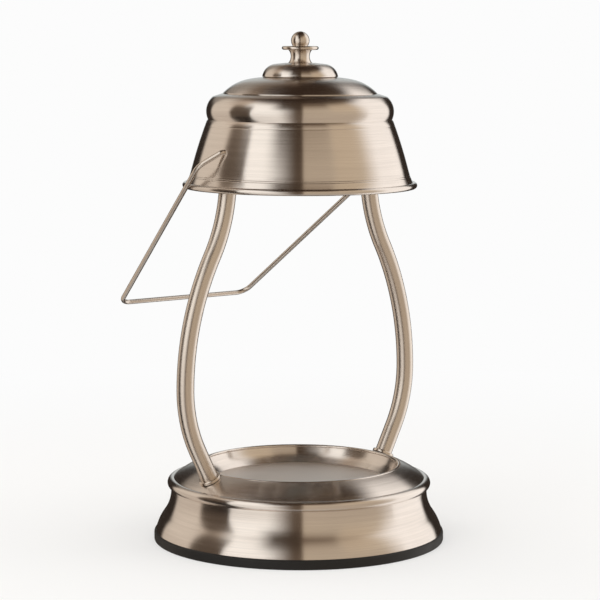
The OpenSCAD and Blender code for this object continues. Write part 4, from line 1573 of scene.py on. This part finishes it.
@dataclass(frozen=True)
class Softbox:
    """A soft light at an angle to the right of the camera, seen from the lamp."""

    name: str
    azimuth: float
    elevation: float
    width: float
    height: float
    strength: float
    colour: str = "ffffff"
    distance: float = 1.7


@dataclass(frozen=True)
class Panel:
    """A scrim or cloth on the studio's wall that metal mirrors, by its edges in degrees."""

    name: str
    left: float    # right of the camera, seen from the lamp
    right: float
    low: float     # above the floor
    high: float
    colour: str
    strength: float
    left_blur: float = 3.0
    right_blur: float = 3.0
    top_blur: float = 14.0
    opacity: float = 1.0

    def cover(self, azimuth: float, elevation: float) -> float:
        """Return how much of the panel shows in a direction.

        Args:
            azimuth: Degrees to the right of the camera, from the panel's left edge on.
            elevation: Degrees above the floor.

        Returns:
            1 on the panel, 0 off it, and a smooth step in between.
        """
        turn = (azimuth - self.left + 90.0) % 360.0 - 90.0
        steps = (turn / self.left_blur, (self.right - self.left - turn) / self.right_blur,
                 (elevation - self.low) / 10.0, (self.high - elevation) / self.top_blur)
        share = self.opacity
        for step in steps:
            t = min(max(step + 0.5, 0.0), 1.0)
            share *= t * t * (3 - 2 * t)
        return share


@dataclass
class Studio:
    """Floor, room, lights and camera."""

    azimuth: float = 38.65
    pitch: float = 6.84
    roll: float = 0.18
    distance: float = 1.4940
    eye_height: float = 0.3364
    focal_length: float = 138.59
    sensor: float = 36.0
    shift: float = 0.0009
    background: str = "fcfcfc"
    cloth: str = "33261e"
    boxes: tuple[Softbox, ...] = (
        Softbox("left_rear_light", -114, 40, 1.3, 1.6, 0.65, "fff6ec"),
        Softbox("left_light", -42, 40, 0.9, 1.6, 1.15, "fffcf9"),
        Softbox("overhead_light", 0, 88, 2.0, 2.0, 1.28, "ffffff"),
        Softbox("right_light", 92, 40, 1.1, 1.6, 1.15, "fffaf4"),
    )
    panels: tuple[Panel, ...] = (
        Panel("header", -180, 180, -90, 57, "7a6350", 1.0, 0.1, 0.1, 28),
        Panel("left_rear_scrim", -178, -96, -90, 50, "d9cdc0", 0.42, 14, 10, 20),
        Panel("left_side_scrim", -138, -93, -90, 45, "e6d9ca", 0.95, 8, 6, 22),
        Panel("left_header", -108, -52, 30, 57, "e0cdb9", 0.9, 36, 30, 14),
        Panel("left_scrim", -80, 0, -90, 55, "fffcf7", 1.2, 12, 3, 16),
        Panel("front_cloth", 3, 139, -90, 42, "bfb09c", 1.12, 2, 6, 22),
        Panel("front_header", 40, 88, 20, 52, "d2bfa6", 1.0, 10, 10, 18),
        Panel("right_scrim", 84, 150, -90, 53, "fffaf5", 1.15, 30, 40, 16),
        # Painted reflection of the table: the table is hidden from glossy rays, so this tan band
        # below the horizon is what metal mirrors in its place.
        Panel("table", -180, 180, -90, 2, "b0a193", 1.0, 0.1, 0.1, 18, opacity=0.36),
        Panel("left_flag", -94, -62.3, -90, 37, "5c4f44", 1.0, 9, 2.5, 12),
        Panel("left_flag_foot", -94, -62.3, -90, -8, "2a2420", 1.0, 6, 2.5, 10),
        Panel("middle_flag", -16, 3, -90, 60, "66574a", 1.0, 28, 2, 16),
        Panel("middle_header", -34, 3, 30, 75, "46392e", 1.0, 22, 8, 20),
        Panel("right_rear_flag", 138.5, 172, -90, 25, "332c27", 1.0, 7, 6, 10),
        Panel("left_rear_flag", -172, -138, -90, 19, "332c27", 1.0, 6, 8, 8),
        Panel("backdrop", 168, 192, -2, 36, "cbd0d0", 1.0, 8, 8, 14),
    )

    def toward(self, azimuth: float, elevation: float) -> Vector:
        """Return the direction at an angle right of the camera and above the floor.

        Args:
            azimuth: Degrees to the right of the camera.
            elevation: Degrees above the floor.

        Returns:
            The direction, of length 1.
        """
        a = math.radians(self.azimuth)
        to_camera = Vector((-math.sin(a), -math.cos(a), 0))
        right = Vector((math.cos(a), -math.sin(a), 0))
        b, e = math.radians(azimuth), math.radians(elevation)
        level = to_camera * math.cos(b) + right * math.sin(b)
        return level * math.cos(e) + Vector((0, 0, math.sin(e)))

    def build(self) -> None:
        """Set up the whole studio."""
        self.make_floor()
        self.make_air()
        self.make_walls()
        for box in self.boxes:
            self.make_light(box)
        self.make_camera()
        bpy.context.scene.view_settings.view_transform = "Standard"

    def make_floor(self) -> None:
        """Lay the pale table, which keeps the lamp's shadow and fades into the backdrop."""
        mesh = bpy.data.meshes.new("white_table")
        size = 12.0
        mesh.from_pydata([(-size, -size, 0), (size, -size, 0), (size, size, 0), (-size, size, 0)],
                         [], [(0, 1, 2, 3)])
        floor = new_object("table", mesh)
        made = bpy.data.materials.new("white_laminate")
        tree = new_tree(made)
        where = add_node(tree, "ShaderNodeTexCoord")
        away = add_node(tree, "ShaderNodeVectorMath", {0: where.outputs["Object"]},
                        operation="LENGTH")
        # The lit table shows within 0.3 m of the axis and is plain backdrop from 0.75 m on.
        share = add_node(tree, "ShaderNodeMapRange", {
            "Value": away.outputs["Value"], "From Min": 0.1, "From Max": 0.75,
            "To Min": 0.42, "To Max": 1.0}, interpolation_type="SMOOTHSTEP")
        path = add_node(tree, "ShaderNodeLightPath")
        seen = add_node(tree, "ShaderNodeMath", {
            0: path.outputs["Is Camera Ray"], 1: share.outputs[0]}, operation="MULTIPLY")
        matt = add_node(tree, "ShaderNodeBsdfDiffuse", {"Color": linear("f0f0ef")})
        glow = add_node(tree, "ShaderNodeEmission", {"Color": linear(self.background)})
        mixed = add_node(tree, "ShaderNodeMixShader", {
            0: seen.outputs[0], 1: matt.outputs[0], 2: glow.outputs[0]})
        add_node(tree, "ShaderNodeOutputMaterial", {"Surface": mixed.outputs[0]})
        mesh.materials.append(made)
        # Metal does not mirror the table itself; the walls' "table" panel paints its reflection
        # instead.
        floor.visible_glossy = False

    def make_air(self) -> None:
        """Fill the world: the white backdrop for the camera, a soft fill for all else."""
        world = bpy.data.worlds.new("studio_air")
        bpy.context.scene.world = world
        tree = new_tree(world)
        path = add_node(tree, "ShaderNodeLightPath")
        seen = add_node(tree, "ShaderNodeMath", {
            0: path.outputs["Is Camera Ray"], 1: path.outputs["Is Transmission Ray"]},
            operation="MAXIMUM")
        backdrop = add_node(tree, "ShaderNodeBackground", {"Color": linear(self.background)})
        air = add_node(tree, "ShaderNodeBackground", {"Color": linear("f5f3f0"), "Strength": 0.55})
        mixed = add_node(tree, "ShaderNodeMixShader", {
            0: seen.outputs[0], 1: air.outputs[0], 2: backdrop.outputs[0]})
        add_node(tree, "ShaderNodeOutputWorld", {"Surface": mixed.outputs[0]})

    def make_walls(self) -> None:
        """Hang the panels on one dark shell round the lamp that only metal and glass mirror."""
        radius, lowest, step = 1.7, -60, 1.5
        middle = Vector((0, 0, 0.15))
        around = [i * step for i in range(int(360 / step))]
        rows = [lowest + i * step for i in range(int((90 - lowest) / step) + 1)]
        corners, faces, colours = [], [], []
        dark = Vector(linear(self.cloth)[:3])
        for elevation in rows:
            for azimuth in around:
                corners.append(middle + self.toward(azimuth, elevation) * radius)
                glow = dark
                for panel in self.panels:
                    lit = Vector(linear(panel.colour)[:3]) * panel.strength
                    glow = glow.lerp(lit, panel.cover(azimuth, elevation))
                colours.append(glow)
        wide = len(around)
        for j in range(len(rows) - 1):
            for i in range(wide):
                m = (i + 1) % wide
                faces.append((j * wide + i, j * wide + m, (j + 1) * wide + m, (j + 1) * wide + i))
        mesh = bpy.data.meshes.new("studio_walls")
        mesh.from_pydata(corners, [], faces)
        layer = mesh.attributes.new("panel_light", "FLOAT_VECTOR", "POINT")
        for datum, glow in zip(layer.data, colours):
            datum.vector = glow
        walls = new_object("studio_walls", mesh)
        made = bpy.data.materials.new("lit_cloth")
        tree = new_tree(made)
        light = add_node(tree, "ShaderNodeAttribute", attribute_name="panel_light")
        glow = add_node(tree, "ShaderNodeEmission", {"Color": light.outputs["Vector"]})
        add_node(tree, "ShaderNodeOutputMaterial", {"Surface": glow.outputs[0]})
        mesh.materials.append(made)
        walls.visible_camera = False
        walls.visible_diffuse = False
        walls.visible_shadow = False
        walls.visible_transmission = False

    def make_light(self, box: Softbox) -> None:
        """Hang one softbox that faces the middle of the lamp.

        Args:
            box: The softbox.
        """
        light = bpy.data.lights.new(box.name, "AREA")
        light.shape = "RECTANGLE"
        light.size, light.size_y = box.width, box.height
        light.energy = box.strength * math.pi * box.width * box.height
        light.color = linear(box.colour)[:3]
        lamp = bpy.data.objects.new(box.name, light)
        bpy.context.scene.collection.objects.link(lamp)
        middle = Vector((0, 0, 0.17))
        back = self.toward(box.azimuth, box.elevation)
        lamp.location = middle + back * box.distance
        lamp.rotation_euler = back.to_track_quat("Z", "Y").to_euler()
        lamp.visible_camera = False
        lamp.visible_glossy = False

    def make_camera(self) -> None:
        """Set the camera at the photograph's angle."""
        data = bpy.data.cameras.new("camera")
        data.sensor_width = self.sensor
        data.lens = self.focal_length
        data.shift_x = self.shift
        data.clip_start, data.clip_end = 0.05, 50.0
        camera = bpy.data.objects.new("camera", data)
        bpy.context.scene.collection.objects.link(camera)
        a, p = math.radians(self.azimuth), math.radians(self.pitch)
        camera.location = (-math.sin(a) * self.distance, -math.cos(a) * self.distance,
                           self.eye_height)
        look = Vector((math.sin(a) * math.cos(p), math.cos(a) * math.cos(p), -math.sin(p)))
        level = look.to_track_quat("-Z", "Y")
        rolled = level @ Euler((0.0, 0.0, math.radians(self.roll))).to_quaternion()
        camera.rotation_euler = rolled.to_euler()
        bpy.context.scene.camera = camera


def main() -> None:
    """Build the lamp's sub-assemblies in order, then the studio."""
    logging.basicConfig(level=logging.INFO, format="%(message)s")
    shop = Workshop()
    base = Base()
    arms = Arms(base)
    shade = Shade()
    for assembly in (base, arms, shade, Handle(shade), LampUnit(shade, arms)):
        assembly.build(shop)
    Studio().build()


if __name__ == "__main__":
    main()
